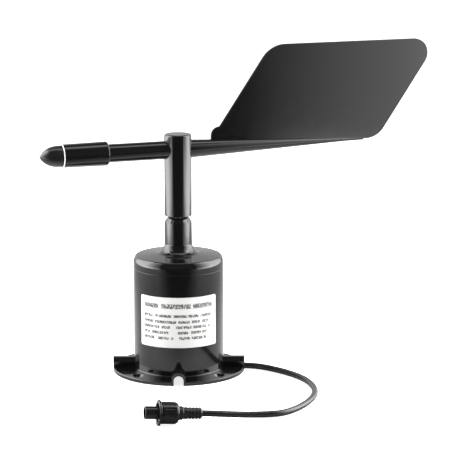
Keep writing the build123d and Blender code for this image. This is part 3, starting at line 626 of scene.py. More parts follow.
def moulded(name, colour, gloss, grain=mm(0.0006)):
    """Moulded plastic or rubber: faint flow in the colour, a slow wave and a fine grain."""
    board = NodeBoard(name)
    if board.fresh:
        darker, lighter = shades(colour, 0.18)
        board.feed("Base Color", board.blend(board.noise(55.0), darker, lighter))
        rough = board.ranged(board.noise(170.0, 5.0, 0.6), gloss[0], gloss[1])
        board.feed("Roughness", rough)
        slow = board.bump(board.noise(48.0, 1.0, 0.4), mm(0.004))
        board.feed("Normal", board.bump(board.noise(1400.0, 2.0), grain, slow))
        board.set(IOR=1.5)
    return board.material


def metal(name, colour, rough, stretch, scale):
    """Turned, ground or plated metal, with fine tool marks."""
    board = NodeBoard(name)
    if board.fresh:
        darker, lighter = shades(colour, 0.07)
        marks = board.noise(scale, 4.0, 0.6, stretch)
        board.feed("Base Color", board.blend(marks, darker, lighter))
        board.feed("Roughness", board.ranged(marks, rough[0], rough[1]))
        board.feed("Normal", board.bump(marks, mm(0.002)))
        board.set(Metallic=1.0)
    return board.material


def circuit_board(name):
    """Green solder mask over faint copper tracks."""
    board = NodeBoard(name)
    if board.fresh:
        cells = board.node("ShaderNodeTexVoronoi", feature="DISTANCE_TO_EDGE", distance="MANHATTAN")
        cells.inputs["Scale"].default_value = 210.0
        board.link(board.place, cells.inputs["Vector"])
        tracks = board.ranged(cells.outputs["Distance"], 1.0, 0.0, 0.03, 0.05)
        colour = board.blend(tracks, (0.014, 0.12, 0.045), (0.03, 0.2, 0.08))
        board.feed("Base Color", colour)
        board.feed("Normal", board.bump(tracks, mm(0.03)))
        board.set(Roughness=0.32)
    return board.material


# Rows of the label from its top edge down: distance to the row's middle, height of the marks, then
# where each mark starts and ends along the curve, from the middle of the label, in millimetres
LABEL_ROWS = (
    (7.4, 3.9, ((-31.5, -17.3), (-14.6, 10.3), (12.3, 31.0))),
    (15.6, 2.3, ((-31.5, -21.7), (-17.2, -5.2), (-4.4, 6.8), (7.6, 17.4), (18.9, 29.4))),
    (20.5, 2.3, ((-31.2, -22.3), (-20.1, -1.8), (-0.2, 9.3), (11.3, 18.4), (20.6, 26.7))),
    (24.9, 2.3, ((-31.2, -16.3), (-14.1, -6.8), (-2.1, 10.9), (12.0, 24.4), (26.5, 28.2))),
    (29.5, 2.3, ((-31.2, -25.5), (-23.8, -8.3), (-0.5, 8.0), (10.3, 19.5), (20.6, 25.1))),
    (
        34.1, 2.3,
        ((-31.2, -21.2), (-17.5, -7.8), (-6.2, -4.4), (0.5, 9.5), (11.0, 20.7), (21.8, 24.5)),
    ),
)
# The square among the marks: distance from the top edge, size, and place along the curve
LABEL_SQUARE = (15.4, 1.9, -18.8)


def label_film(name, finishes, radius, top):
    """White film with rows of generic marks: short upright strokes that spell nothing."""
    board = NodeBoard(name)
    if not board.fresh:
        return board.material
    x_place, y_place, height = board.axes()
    turn = board.math("ARCTAN2", x_place, board.product(y_place, -1.0))
    across = board.product(turn, radius)
    down = board.math("SUBTRACT", top, height)

    def band(value, middle, width):
        """One within a width in millimetres round a middle, and nothing outside it."""
        return board.math("COMPARE", value, mm(middle), mm(width / 2))

    strokes = board.noise(1.0, 1.0, 0.5, (1250.0, 1250.0, 620.0))
    rows = []
    for middle, tall, marks in LABEL_ROWS:
        columns = [band(across, (start + end) / 2, end - start) for start, end in marks]
        rows.append(board.product(band(down, middle, tall), board.total(*columns)))
    printed = board.product(board.total(*rows), board.ranged(strokes, 0.15, 1.0, 0.38, 0.5))
    middle, size, place = LABEL_SQUARE
    square = board.product(band(down, middle, size), band(across, place, size))
    printed = board.math("MAXIMUM", printed, square)
    darker, lighter = shades(finishes.label_white, 0.02)
    film = board.blend(board.noise(90.0), darker, lighter)
    board.feed("Base Color", board.blend(printed, film, finishes.print_grey))
    board.feed("Roughness", board.ranged(board.noise(400.0), 0.42, 0.52))
    board.feed("Normal", board.bump(board.noise(2200.0), mm(0.002)))
    return board.material


# Moulded finishes: which colour, the range of roughness, and the depth of the grain in millimetres
MOULDED = {
    "casing_plastic": ("casing_black", (0.08, 0.13), 0.0006),
    "cone_plastic": ("cone_black", (0.2, 0.27), 0.001),
    # The rim's near-white finish is a painted highlight on the sleeve's front edge
    "bright_rim": ("rim_highlight_white", (0.25, 0.35), 0.0006),
    "plug_plastic": ("rubber_black", (0.14, 0.22), 0.001),
    "soft_rubber": ("rubber_black", (0.24, 0.36), 0.002),
    "cable_jacket": ("rubber_black", (0.2, 0.32), 0.002),
}


def finish(name):
    """One of the moulded finishes, in its colour from the settings."""
    colour, gloss, grain = MOULDED[name]
    finishes = bpy.context.scene.vane_finishes
    return moulded(name, getattr(finishes, colour), gloss, mm(grain))


# ------------------------------------------------------------------ operators
FLOOR_SIZE = 16.0
SENSOR_WIDTH = 36.0
NEAREST_SEEN = 0.01
# Side panels: distance from the spindle, place of the middle, height and length
PANEL_AWAY = 0.62
PANEL_MIDDLE = (0.115, 0.52)
PANEL_SIZE = (1.04, 1.67)
# Gradients, each as the value at its start and at its end, then the start and the end in metres.
# A panel brightens from its front end in two ramps, fades to the back, and has a foot of its own.
PANEL_FRONT = (0.0, 0.26, -0.655, -0.35)
PANEL_RISE = (0.0, 0.74, -0.36, -0.02)
PANEL_FALL = (1.0, 0.14, 0.02, 0.8)
FOOT_HEIGHT = (0.45, 0.0, 0.05, 0.08)
FOOT_FRONT = (0.0, 1.0, -0.62, -0.45)
FOOT_BACK = (1.0, 0.0, -0.2, 0.15)
# Painted shade and painted light on the floor, seen only in gloss: a dark wedge in front, a fall
# round the object, and a lift farther out
WEDGE_SPREAD = 0.85
WEDGE_EDGE = (0.0, 0.25)
FLOOR_FALL = (0.8, 0.36, 0.1, 0.36)
OUTER_LIFT = (0.0, 1.0, 0.44, 0.6)
FRONT_LIFT = (0.05, 2.4, 0.1, 0.36)
FLOOR_SHADES = ((0.84, 0.84, 0.84), (0.88, 0.88, 0.88))
# The room by direction: how fast the back wall brightens, where it ends, and the overhead strip
BACK_SLOPE = 2.5
WALL_SLOPE, WALL_TOP = -3.3, 2.65
WALL_SIDES = 2.4
STRIP_MIDDLE, STRIP_HALF_WIDTH, STRIP_HEIGHT = 0.05, 0.17, 0.75


class WINDVANE_OT_stage(bpy.types.Operator):
    """Add the camera, the pale floor, the two side panels and the room's light"""

    bl_idname = "windvane.add_stage"
    bl_label = "Stage"

    def execute(self, context):
        settings = context.scene.vane_stage
        deselect()
        bpy.ops.object.camera_add(
            location=settings.camera_place,
            rotation=(math.pi / 2 - settings.camera_pitch, 0, settings.camera_turn),
        )
        camera = context.object
        camera.name = "camera"
        camera.data.lens = settings.focal_length
        camera.data.sensor_width = SENSOR_WIDTH
        camera.data.clip_start = NEAREST_SEEN
        context.scene.camera = camera
        context.scene.view_settings.view_transform = "Standard"

        bpy.ops.mesh.primitive_plane_add(size=FLOOR_SIZE, location=(0, 0, 0))
        floor = named("floor")
        floor.data.materials.append(self.floor_material(settings))

        for name, side in (("left_panel", -1), ("right_panel", 1)):
            deselect()
            place = (side * PANEL_AWAY, *PANEL_MIDDLE)
            bpy.ops.mesh.primitive_plane_add(size=1.0, location=place)
            panel = named(name)
            panel.scale = (*PANEL_SIZE, 1.0)
            panel.rotation_euler = (0, side * math.pi / 2, 0)
            fixed(panel)
            panel.visible_camera = False
            panel.visible_shadow = False
            panel.data.materials.append(self.panel_material(settings))
        context.scene.world = self.room(settings)
        return {"FINISHED"}

    def room(self, settings):
        """A dim room with a bright wall low down at the back and a narrow strip light overhead."""
        world = bpy.data.worlds.new("room")
        world.use_nodes = True
        tree = world.node_tree
        board = Nodes(tree, "Generated")
        x_way, y_way, z_way = board.axes()
        towards_back = board.math("MULTIPLY_ADD", y_way, BACK_SLOPE, 0.0, clamp=True)
        near_floor = board.math("MULTIPLY_ADD", z_way, WALL_SLOPE, WALL_TOP, clamp=True)
        aside = board.product(board.math("ABSOLUTE", x_way), settings.wall_light * WALL_SIDES)
        wall_light = board.total(aside, settings.wall_light)
        wall = board.product(towards_back, near_floor, wall_light)
        overhead = board.math("COMPARE", y_way, STRIP_MIDDLE, STRIP_HALF_WIDTH)
        above = board.math("GREATER_THAN", z_way, STRIP_HEIGHT)
        strip = board.product(overhead, above, settings.strip_light)
        light = board.total(wall, strip, settings.room_light)
        rays = board.node("ShaderNodeLightPath").outputs
        background = tree.nodes["Background"].inputs
        background["Color"].default_value = WHITE
        board.link(board.math("MAXIMUM", light, rays["Is Camera Ray"]), background["Strength"])
        return world

    def floor_material(self, settings):
        """Pale matt floor whose front part is painted dark in gloss, a painted shade like the unlit
        end of a studio, with painted light farther out.
        """
        board = NodeBoard("floor_paper")
        if not board.fresh:
            return board.material
        x_place, y_place, _ = board.axes()
        front = board.product(y_place, -1.0)
        side = board.product(board.math("ABSOLUTE", x_place), WEDGE_SPREAD)
        inside = board.math("SUBTRACT", front, side)
        # Painted shade and painted light: in gloss the floor's colour darkens in a wedge in front,
        # falls off round the object and lifts farther out
        painted_shade_wedge = board.ranged(inside, 1.0, settings.front_dark, *WEDGE_EDGE)
        length = board.node("ShaderNodeVectorMath", operation="LENGTH")
        board.link(board.place, length.inputs[0])
        away = length.outputs["Value"]
        painted_light_lift = board.product(board.ranged(away, *OUTER_LIFT), board.ranged(front, *FRONT_LIFT))
        shade = board.product(painted_shade_wedge, board.ranged(away, *FLOOR_FALL), board.total(painted_light_lift, 1.0))
        in_gloss = board.node("ShaderNodeLightPath").outputs["Is Glossy Ray"]
        mixer = board.node("ShaderNodeMix", data_type="FLOAT")
        board.link(in_gloss, mixer.inputs["Factor"])
        mixer.inputs[2].default_value = 1.0
        board.link(shade, mixer.inputs[3])
        scaled = board.node("ShaderNodeVectorMath", operation="SCALE")
        pale = board.blend(board.noise(3.0), *FLOOR_SHADES)
        board.link(pale, scaled.inputs[0])
        board.link(mixer.outputs[0], scaled.inputs["Scale"])
        board.feed("Base Color", scaled.outputs[0])
        glow = board.math("SUBTRACT", 1.0, in_gloss)
        board.feed("Emission Strength", board.product(glow, settings.floor_glow))
        board.set(Emission_Color=WHITE, Specular_IOR_Level=0.0, Roughness=0.9)
        return board.material

    def panel_material(self, settings):
        """A diffused light panel, brightest beside the object and falling off towards its ends."""
        board = NodeBoard("light_panel")
        if not board.fresh:
            return board.material
        _, y_place, z_place = board.axes()
        ramps = board.ranged(y_place, *PANEL_FRONT), board.ranged(y_place, *PANEL_RISE)
        rising = board.total(*ramps)
        falling = board.ranged(y_place, *PANEL_FALL)
        foot_ends = board.ranged(y_place, *FOOT_FRONT), board.ranged(y_place, *FOOT_BACK)
        foot = board.product(board.ranged(z_place, *FOOT_HEIGHT), *foot_ends)
        strength = board.total(board.product(rising, falling), foot)
        emission = board.node("ShaderNodeEmission")
        board.link(board.product(strength, settings.side_light), emission.inputs["Strength"])
        output = board.tree.nodes["Material Output"]
        board.link(emission.outputs[0], output.inputs["Surface"])
        return board.material


# The cable's route in millimetres, from its inlet in the outlet block over the floor to the plug,
# then distances from the middle of the coupling nut's ring along the plug's own axis
CABLE_ROUTE = (
    (4.0, 0.0, 5.25),
    (20.0, 0.0, 5.25),
    (37.0, 0.0, 3.7),
    (54.0, 0.2, 2.6),
    (67.0, -2.7, 2.6),
    (79.3, -12.3, 2.6),
    (92.4, -26.2, 2.6),
    (102.0, -41.0, 2.6),
    (107.8, -57.5, 2.6),
    (110.2, -76.0, 2.6),
    (108.2, -94.6, 2.6),
    (102.2, -112.2, 2.6),
    (93.4, -129.0, 2.6),
    (80.5, -143.2, 2.6),
    (62.0, -146.7, 2.8),
    (44.6, -151.6, 4.4),
)
CABLE_ON_PLUG_AXIS = (-42.0, -24.0)


class WINDVANE_OT_cable(bpy.types.Operator):
    """Add the signal cable along its route, into the plug"""

    bl_idname = "windvane.add_cable"
    bl_label = "Cable"

    def execute(self, context):
        sizes = context.scene.vane_cable
        points = [Vector(point) * MM for point in CABLE_ROUTE]
        points += [PLUG_CENTRE + PLUG_DIRECTION * mm(distance) for distance in CABLE_ON_PLUG_AXIS]
        curve = bpy.data.curves.new("signal_cable", "CURVE")
        curve.dimensions = "3D"
        spline = curve.splines.new("NURBS")
        spline.points.add(len(points) - 1)
        for control, point in zip(spline.points, points):
            control.co = (*point, 1.0)
        spline.order_u = 3
        spline.use_endpoint_u = True
        spline.use_smooth = True
        curve.resolution_u = 16
        curve.bevel_depth = sizes.diameter / 2
        curve.bevel_resolution = 8
        curve.use_fill_caps = True
        cable = bpy.data.objects.new("signal_cable", curve)
        context.collection.objects.link(cable)
        cable.data.materials.append(finish("cable_jacket"))
        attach(cable, "base")
        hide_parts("cable")
        return {"FINISHED"}


class WINDVANE_OT_casing(bpy.types.Operator):
    """Add the flanged casing with its hoods, tunnels and countersunk holes"""

    bl_idname = "windvane.add_casing"
    bl_label = "Casing"

    def execute(self, context):
        sizes = context.scene.vane_casing
        ledge_radius = sizes.cavity_radius - LEDGE_WIDTH
        ledge_bottom = mm(13.5)
        ledge_top = mm(16.5)
        straight_top = mm(14.5)
        boss_top = mm(24.5)
        hole_top = mm(23)
        outline = (
            (sizes.cavity_radius, 0.0, EDGE_ROUND),
            (FLANGE_RADIUS, 0.0, EDGE_ROUND),
            (FLANGE_RADIUS, sizes.flange_thickness, mm(0.8)),
            (sizes.foot_radius, sizes.flange_thickness, sizes.foot_round),
            (sizes.foot_radius - mm(0.05), straight_top),
            (sizes.top_radius, SEAM_HEIGHT, EDGE_ROUND),
            (sizes.cavity_radius, SEAM_HEIGHT, EDGE_ROUND),
            (sizes.cavity_radius, ledge_top),
            (ledge_radius, ledge_top, EDGE_ROUND),
            (ledge_radius, ledge_bottom, EDGE_ROUND),
            (sizes.cavity_radius, ledge_bottom),
        )
        casing = lathe("casing", outline, steps=BODY_STEPS)
        bosses = self.posts("boss", BOSS_RADIUS, ledge_bottom + mm(1), boss_top, ledge_radius)
        holes = self.posts(
            "screw_hole", SCREW_BORE, ledge_bottom - mm(1), hole_top, ledge_radius, 32
        )
        combine(casing, self.hoods(sizes), "UNION")
        combine(casing, bosses, "UNION")
        for cut in (holes, self.tunnels(sizes), self.bolt_holes(sizes)):
            combine(casing, cut, "DIFFERENCE")
        settle(casing, "base", "casing_plastic", "body_shell")
        return {"FINISHED"}

    def hoods(self, sizes):
        """Four chamfered ribs out to the rim of the flange, with softened edges."""
        rib = bar_piece(
            "hood", sizes.foot_radius - mm(2), FLANGE_RADIUS + mm(3), mm(0.4), sizes.hood_height,
            sizes.hood_width, sizes.hood_chamfer,
        )
        rim = rod_piece("rim", FLANGE_RADIUS - mm(0.02), -mm(1), mm(20), sides=384)
        combine(rib, rim, "INTERSECT")
        soften(rib, mm(0.45), 3)
        return copies_round(rib, TUNNEL_COUNT)

    def posts(self, name, radius, bottom, top, ring, sides=64):
        """One upright post at each cover screw, for a boss or for its hole."""
        return joined([
            rod_piece(name, radius, bottom, top, on_circle(ring, angle), sides=sides)
            for angle in SCREW_ANGLES
        ])

    def tunnels(self, sizes):
        """Arched cable tunnels from the cavity to the rim."""
        arch = bar_piece(
            "tunnel", sizes.cavity_radius - mm(3), FLANGE_RADIUS + mm(1), -mm(1),
            sizes.tunnel_height, sizes.tunnel_width, sizes.tunnel_width / 2 - mm(0.02), 10,
        )
        return copies_round(arch, TUNNEL_COUNT)

    def bolt_holes(self, sizes):
        """Four countersunk holes between the tunnels."""
        top = sizes.flange_thickness
        depth = sizes.countersink_radius - sizes.bolt_radius
        place = (sizes.bolt_circle, 0)
        hole = rod_piece("bolt_hole", sizes.bolt_radius, -mm(1), top + mm(1), place, sides=48)
        sink = rod_piece(
            "countersink", sizes.bolt_radius, top - depth, top + mm(0.5), place,
            top_radius=sizes.countersink_radius + mm(0.5), sides=48,
        )
        combine(hole, sink, "UNION")
        return copies_round(hole, TUNNEL_COUNT, math.pi / TUNNEL_COUNT)


class WINDVANE_OT_cap(bpy.types.Operator):
    """Add the top cap with its rolled shoulder, dish, neck and bearing housing"""

    bl_idname = "windvane.add_cap"
    bl_label = "Top Cap"

    def execute(self, context):
        sizes = context.scene.vane_cap
        casing = context.scene.vane_casing
        crest_radius = casing.top_radius - sizes.roll_width
        skirt_top = SEAM_HEIGHT + sizes.skirt
        crest = skirt_top + sizes.roll_height
        dish = crest + sizes.dish_rise
        neck_radius = sizes.neck_foot_radius - mm(0.35)
        shoulder = NECK_TOP - sizes.chamfer_height
        roof = crest - mm(4.1)
        bearing_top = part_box("upper_bearing_outer_ring")[1].z
        bearing_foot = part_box("lower_bearing_outer_ring")[0].z
        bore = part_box("upper_bearing_outer_ring")[1].x
        housing = bore + sizes.wall
        housing_foot = bearing_foot - mm(4)
        clip_bore = bore + mm(0.5)
        clip_foot = bearing_foot - mm(1)
        recess = bore - mm(1.1)
        recess_top = bearing_top + mm(2.4)
        spindle_way = mm(4.2)
        spigot = casing.cavity_radius - mm(0.1)
        spigot_foot = SEAM_HEIGHT - mm(6)
        seal_low, seal_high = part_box("cap_seal")
        seal_groove = spigot - mm(1.2)
        roll = []
        for index in range(1, ROLL_STEPS):
            turn = index * math.pi / 2 / ROLL_STEPS
            radius = crest_radius + sizes.roll_width * math.cos(turn)
            roll.append((radius, skirt_top + sizes.roll_height * math.sin(turn)))
        outline = (
            (spigot, SEAM_HEIGHT),
            (casing.top_radius, SEAM_HEIGHT, EDGE_ROUND),
            (casing.top_radius, skirt_top),
            *roll,
            (crest_radius, crest),
            (sizes.neck_foot_radius, dish, sizes.neck_foot_round),
            (neck_radius, shoulder, mm(0.35)),
            (neck_radius - sizes.chamfer_width, NECK_TOP, mm(0.3)),
            (spindle_way, NECK_TOP, EDGE_ROUND),
            (spindle_way, recess_top),
            (recess, recess_top),
            (recess, bearing_top),
            (bore, bearing_top),
            (bore, bearing_foot),
            (clip_bore, bearing_foot),
            (clip_bore, clip_foot),
            (bore, clip_foot),
            (bore, housing_foot, EDGE_ROUND),
            (housing, housing_foot, EDGE_ROUND),
            (housing, roof, mm(0.8)),
            (spigot - sizes.wall, roof, mm(0.8)),
            (spigot - sizes.wall, spigot_foot, EDGE_ROUND),
            (spigot, spigot_foot, EDGE_ROUND),
            (spigot, seal_low.z),
            (seal_groove, seal_low.z),
            (seal_groove, seal_high.z),
            (spigot, seal_high.z),
        )
        cap = lathe("cap", outline, steps=BODY_STEPS)
        for angle in POST_ANGLES:
            place = on_circle(POST_CIRCLE, angle)
            boss = rod_piece("boss", BOSS_RADIUS, roof - mm(6), roof + mm(0.5), place)
            hole = rod_piece("hole", SCREW_BORE, roof - mm(7), roof, place, sides=32)
            combine(cap, boss, "UNION")
            combine(cap, hole, "DIFFERENCE")
        settle(cap, "base", "casing_plastic", "top_cap")
        return {"FINISHED"}


class WINDVANE_OT_label(bpy.types.Operator):
    """Coat the label round the front of the casing with its white film and marks"""

    bl_idname = "windvane.add_label"
    bl_label = "Label"

    def execute(self, context):
        label = frame["nodes"]["label"]
        radius = max(math.hypot(vertex.co.x, vertex.co.y) for vertex in label.data.vertices)
        film = label_film("label_film", context.scene.vane_finishes, radius, LABEL_TOP)
        coat(label, film)
        return {"FINISHED"}


class WINDVANE_OT_hub(bpy.types.Operator):
    """Add the upright hub with its rounded top, cross bore and insert bore"""

    bl_idname = "windvane.add_hub"
    bl_label = "Hub"

    def execute(self, context):
        sizes = context.scene.vane_hub
        arm_radius = context.scene.vane_nose.arm_radius
        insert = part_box("hub_insert")[1].x
        outline = (
            (0.0, hub_high.z),
            (HUB_RADIUS, hub_high.z, sizes.edge_round),
            (HUB_RADIUS, hub_low.z, sizes.foot_chamfer),
            (insert, hub_low.z),
            (insert, hub_low.z + sizes.insert_length),
            (0.0, hub_low.z + sizes.insert_length),
        )
        hub = lathe("hub", outline, steps=144, closed=False)
        cross = rod_piece("cross_bore", arm_radius, -2 * HUB_RADIUS, 2 * HUB_RADIUS, sides=96)
        lay_along(cross, ARM_CENTRE, NOSE_DIRECTION)
        combine(hub, cross, "DIFFERENCE")
        screw = mean_place("hub_grub_screw")
        grub = rod_piece("grub_hole", mm(2.05), 0.0, mm(12), sides=40)
        lay_along(grub, Vector((0, mm(1), screw.z)), Vector((0, 1, 0)))
        combine(hub, grub, "DIFFERENCE")
        settle(hub, "vane", "casing_plastic", "vane_hub")
        return {"FINISHED"}


class WINDVANE_OT_nose(bpy.types.Operator):
    """Add the nose arm, the sleeve over the weight and the nose cone"""

    bl_idname = "windvane.add_nose"
    bl_label = "Nose"

    def execute(self, context):
        sizes = context.scene.vane_nose
        rod = girth("tie_rod")
        arm_end = reach("nose_arm", NOSE_DIRECTION)[1]
        outline = (
            (rod, 0.0),
            (sizes.arm_radius, 0.0),
            (sizes.arm_radius, arm_end, mm(0.5)),
            (rod, arm_end),
        )
        arm = lathe("arm", outline, steps=96)
        lay_along(arm, ARM_CENTRE, NOSE_DIRECTION)
        settle(arm, "vane", "casing_plastic", "nose_arm")

        sleeve_start, sleeve_end = reach("nose_sleeve", NOSE_DIRECTION)
        sleeve_rear = girth("nose_sleeve")
        bore = girth("counterweight") + mm(0.1)
        outline = (
            (sizes.arm_radius, sleeve_start),
            (sleeve_rear - sizes.rear_chamfer, sleeve_start, mm(0.2)),
            (sleeve_rear, sleeve_start + sizes.rear_chamfer, mm(0.4)),
            (sizes.sleeve_front_radius, sleeve_end - sizes.rim_width, mm(0.1)),
            (sizes.sleeve_front_radius - mm(0.4), sleeve_end, mm(0.1)),
            (bore, sleeve_end),
            (bore, arm_end),
            (sizes.arm_radius, arm_end),
        )
        sleeve = lathe("sleeve", outline, steps=128)
        lay_along(sleeve, ARM_CENTRE, NOSE_DIRECTION)
        settle(sleeve, "vane", "casing_plastic", "nose_sleeve")
        self.paint_rim_highlight(sleeve, sleeve_end - sizes.rim_width, sizes.cone_radius)

        rod_end = reach("tie_rod", NOSE_DIRECTION)[1]
        plug_end = sleeve_end - mm(1.6)
        plug_radius = bore - mm(0.1)
        ogive = []
        for index in range(1, OGIVE_STEPS):
            sweep = math.sin(index / OGIVE_STEPS * math.pi / 2)
            share = OGIVE_START + (1 - OGIVE_START) * sweep
            radius = sizes.cone_radius * (1 - share**3) ** OGIVE_BLUNTNESS
            ogive.append((radius, sleeve_end + sizes.cone_length * share))
        outline = (
            (0.0, rod_end),
            (rod, rod_end),
            (rod, plug_end),
            (plug_radius, plug_end),
            (plug_radius, sleeve_end),
            (sizes.cone_radius, sleeve_end, mm(0.3)),
            *ogive,
            (0.0, sleeve_end + sizes.cone_length),
        )
        cone = lathe("cone", outline, steps=128, closed=False)
        lay_along(cone, ARM_CENTRE, NOSE_DIRECTION)
        settle(cone, "vane", "cone_plastic", "nose_cone")
        return {"FINISHED"}

    def paint_rim_highlight(self, sleeve, start, inner_radius):
        """Give the outer faces at the front end of the sleeve a near-white finish: a painted
        highlight along the sleeve's front edge.
        """
        sleeve.data.materials.append(finish("bright_rim"))
        for face in sleeve.data.polygons:
            offset = face.center - ARM_CENTRE
            along = offset.dot(NOSE_DIRECTION)
            radius = (offset - NOSE_DIRECTION * along).length
            if along > start - mm(0.1) and radius > inner_radius - mm(0.2):
                face.material_index = 1


class WINDVANE_OT_tail(bpy.types.Operator):
    """Add the tapered tail boom and the flat tail fin"""

    bl_idname = "windvane.add_tail"
    bl_label = "Tail"

    def execute(self, context):
        sizes = context.scene.vane_tail
        arm_radius = context.scene.vane_nose.arm_radius
        rod = girth("tie_rod")
        rod_end = reach("tie_rod", TAIL_DIRECTION)[1]
        boom_end = reach("tail_boom", TAIL_DIRECTION)[1]
        fin_front = reach("tail_fin", TAIL_DIRECTION)[0]
        fin_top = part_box("tail_fin")[1].z - ARM_CENTRE.z
        sideways = Vector((0, 0, 1)).cross(TAIL_DIRECTION)
        half = reach("tail_fin", sideways)[1]
        outline = (
            (0.0, rod_end),
            (rod, rod_end),
            (rod, 0.0),
            (arm_radius, 0.0),
            (arm_radius, HUB_RADIUS),
            (sizes.taper_radius, sizes.taper_length),
            (sizes.tip_radius, boom_end),
            (0.0, boom_end),
        )
        boom = lathe("boom", outline, steps=96, closed=False)
        lay_along(boom, ARM_CENTRE, TAIL_DIRECTION)
        slot_end = boom_end + mm(5)
        slot = box_piece("slot", (fin_front, -half, 0.0), (slot_end, half, mm(20)))
        self.stand_along_tail(slot)
        combine(boom, slot, "DIFFERENCE")
        settle(boom, "vane", "casing_plastic", "tail_boom")

        fin = self.fin_plate(sizes, fin_front, fin_top, half)
        self.stand_along_tail(fin)
        settle(fin, "vane", "casing_plastic", "tail_fin")
        return {"FINISHED"}

    def stand_along_tail(self, piece):
        """Turn a piece made along X to stand along the tail, at the height of the boom."""
        pick(piece)
        yaw = math.atan2(TAIL_DIRECTION.y, TAIL_DIRECTION.x)
        piece.matrix_world = Matrix.Translation(ARM_CENTRE) @ Matrix.Rotation(yaw, 4, "Z")
        fixed(piece)

    def fin_plate(self, sizes, front, top, half):
        """A flat plate from its outline, with rounded corners and softened edges."""
        run = sizes.fin_slant * top
        rear = sizes.fin_root + sizes.fin_length
        corners = (
            (front, 0.0, 0.0),
            (rear, 0.0, sizes.bottom_round),
            (rear + run, top, sizes.top_round),
            (sizes.fin_root + run, top, sizes.front_round),
            (sizes.fin_root + sizes.fin_slant * sizes.lug_height, sizes.lug_height, 0.0),
            (front, sizes.lug_height, sizes.lug_radius * LUG_SHARE),
        )
        places = [Vector((along, -half, height)) for along, height, _ in corners]
        fin = start_outline("fin", places[0])
        draw_through(places + places[:1])
        round_corners(fin, places, [corner[2] for corner in corners], PLATE_STEP)
        bpy.ops.mesh.remove_doubles(threshold=MERGE_DISTANCE)
        bpy.ops.mesh.edge_face_add()
        bpy.ops.mesh.extrude_region_move(TRANSFORM_OT_translate={"value": (0, 2 * half, 0)})
        close_mesh()
        bpy.ops.object.mode_set(mode="OBJECT")
        soften(fin, sizes.edge_round, 3, SHARP_LIMIT)
        return fin


# The stem of the plug, which the strain relief is moulded round
STEM_RADIUS = 3.8 * MM
STEM_LENGTH = 3 * MM


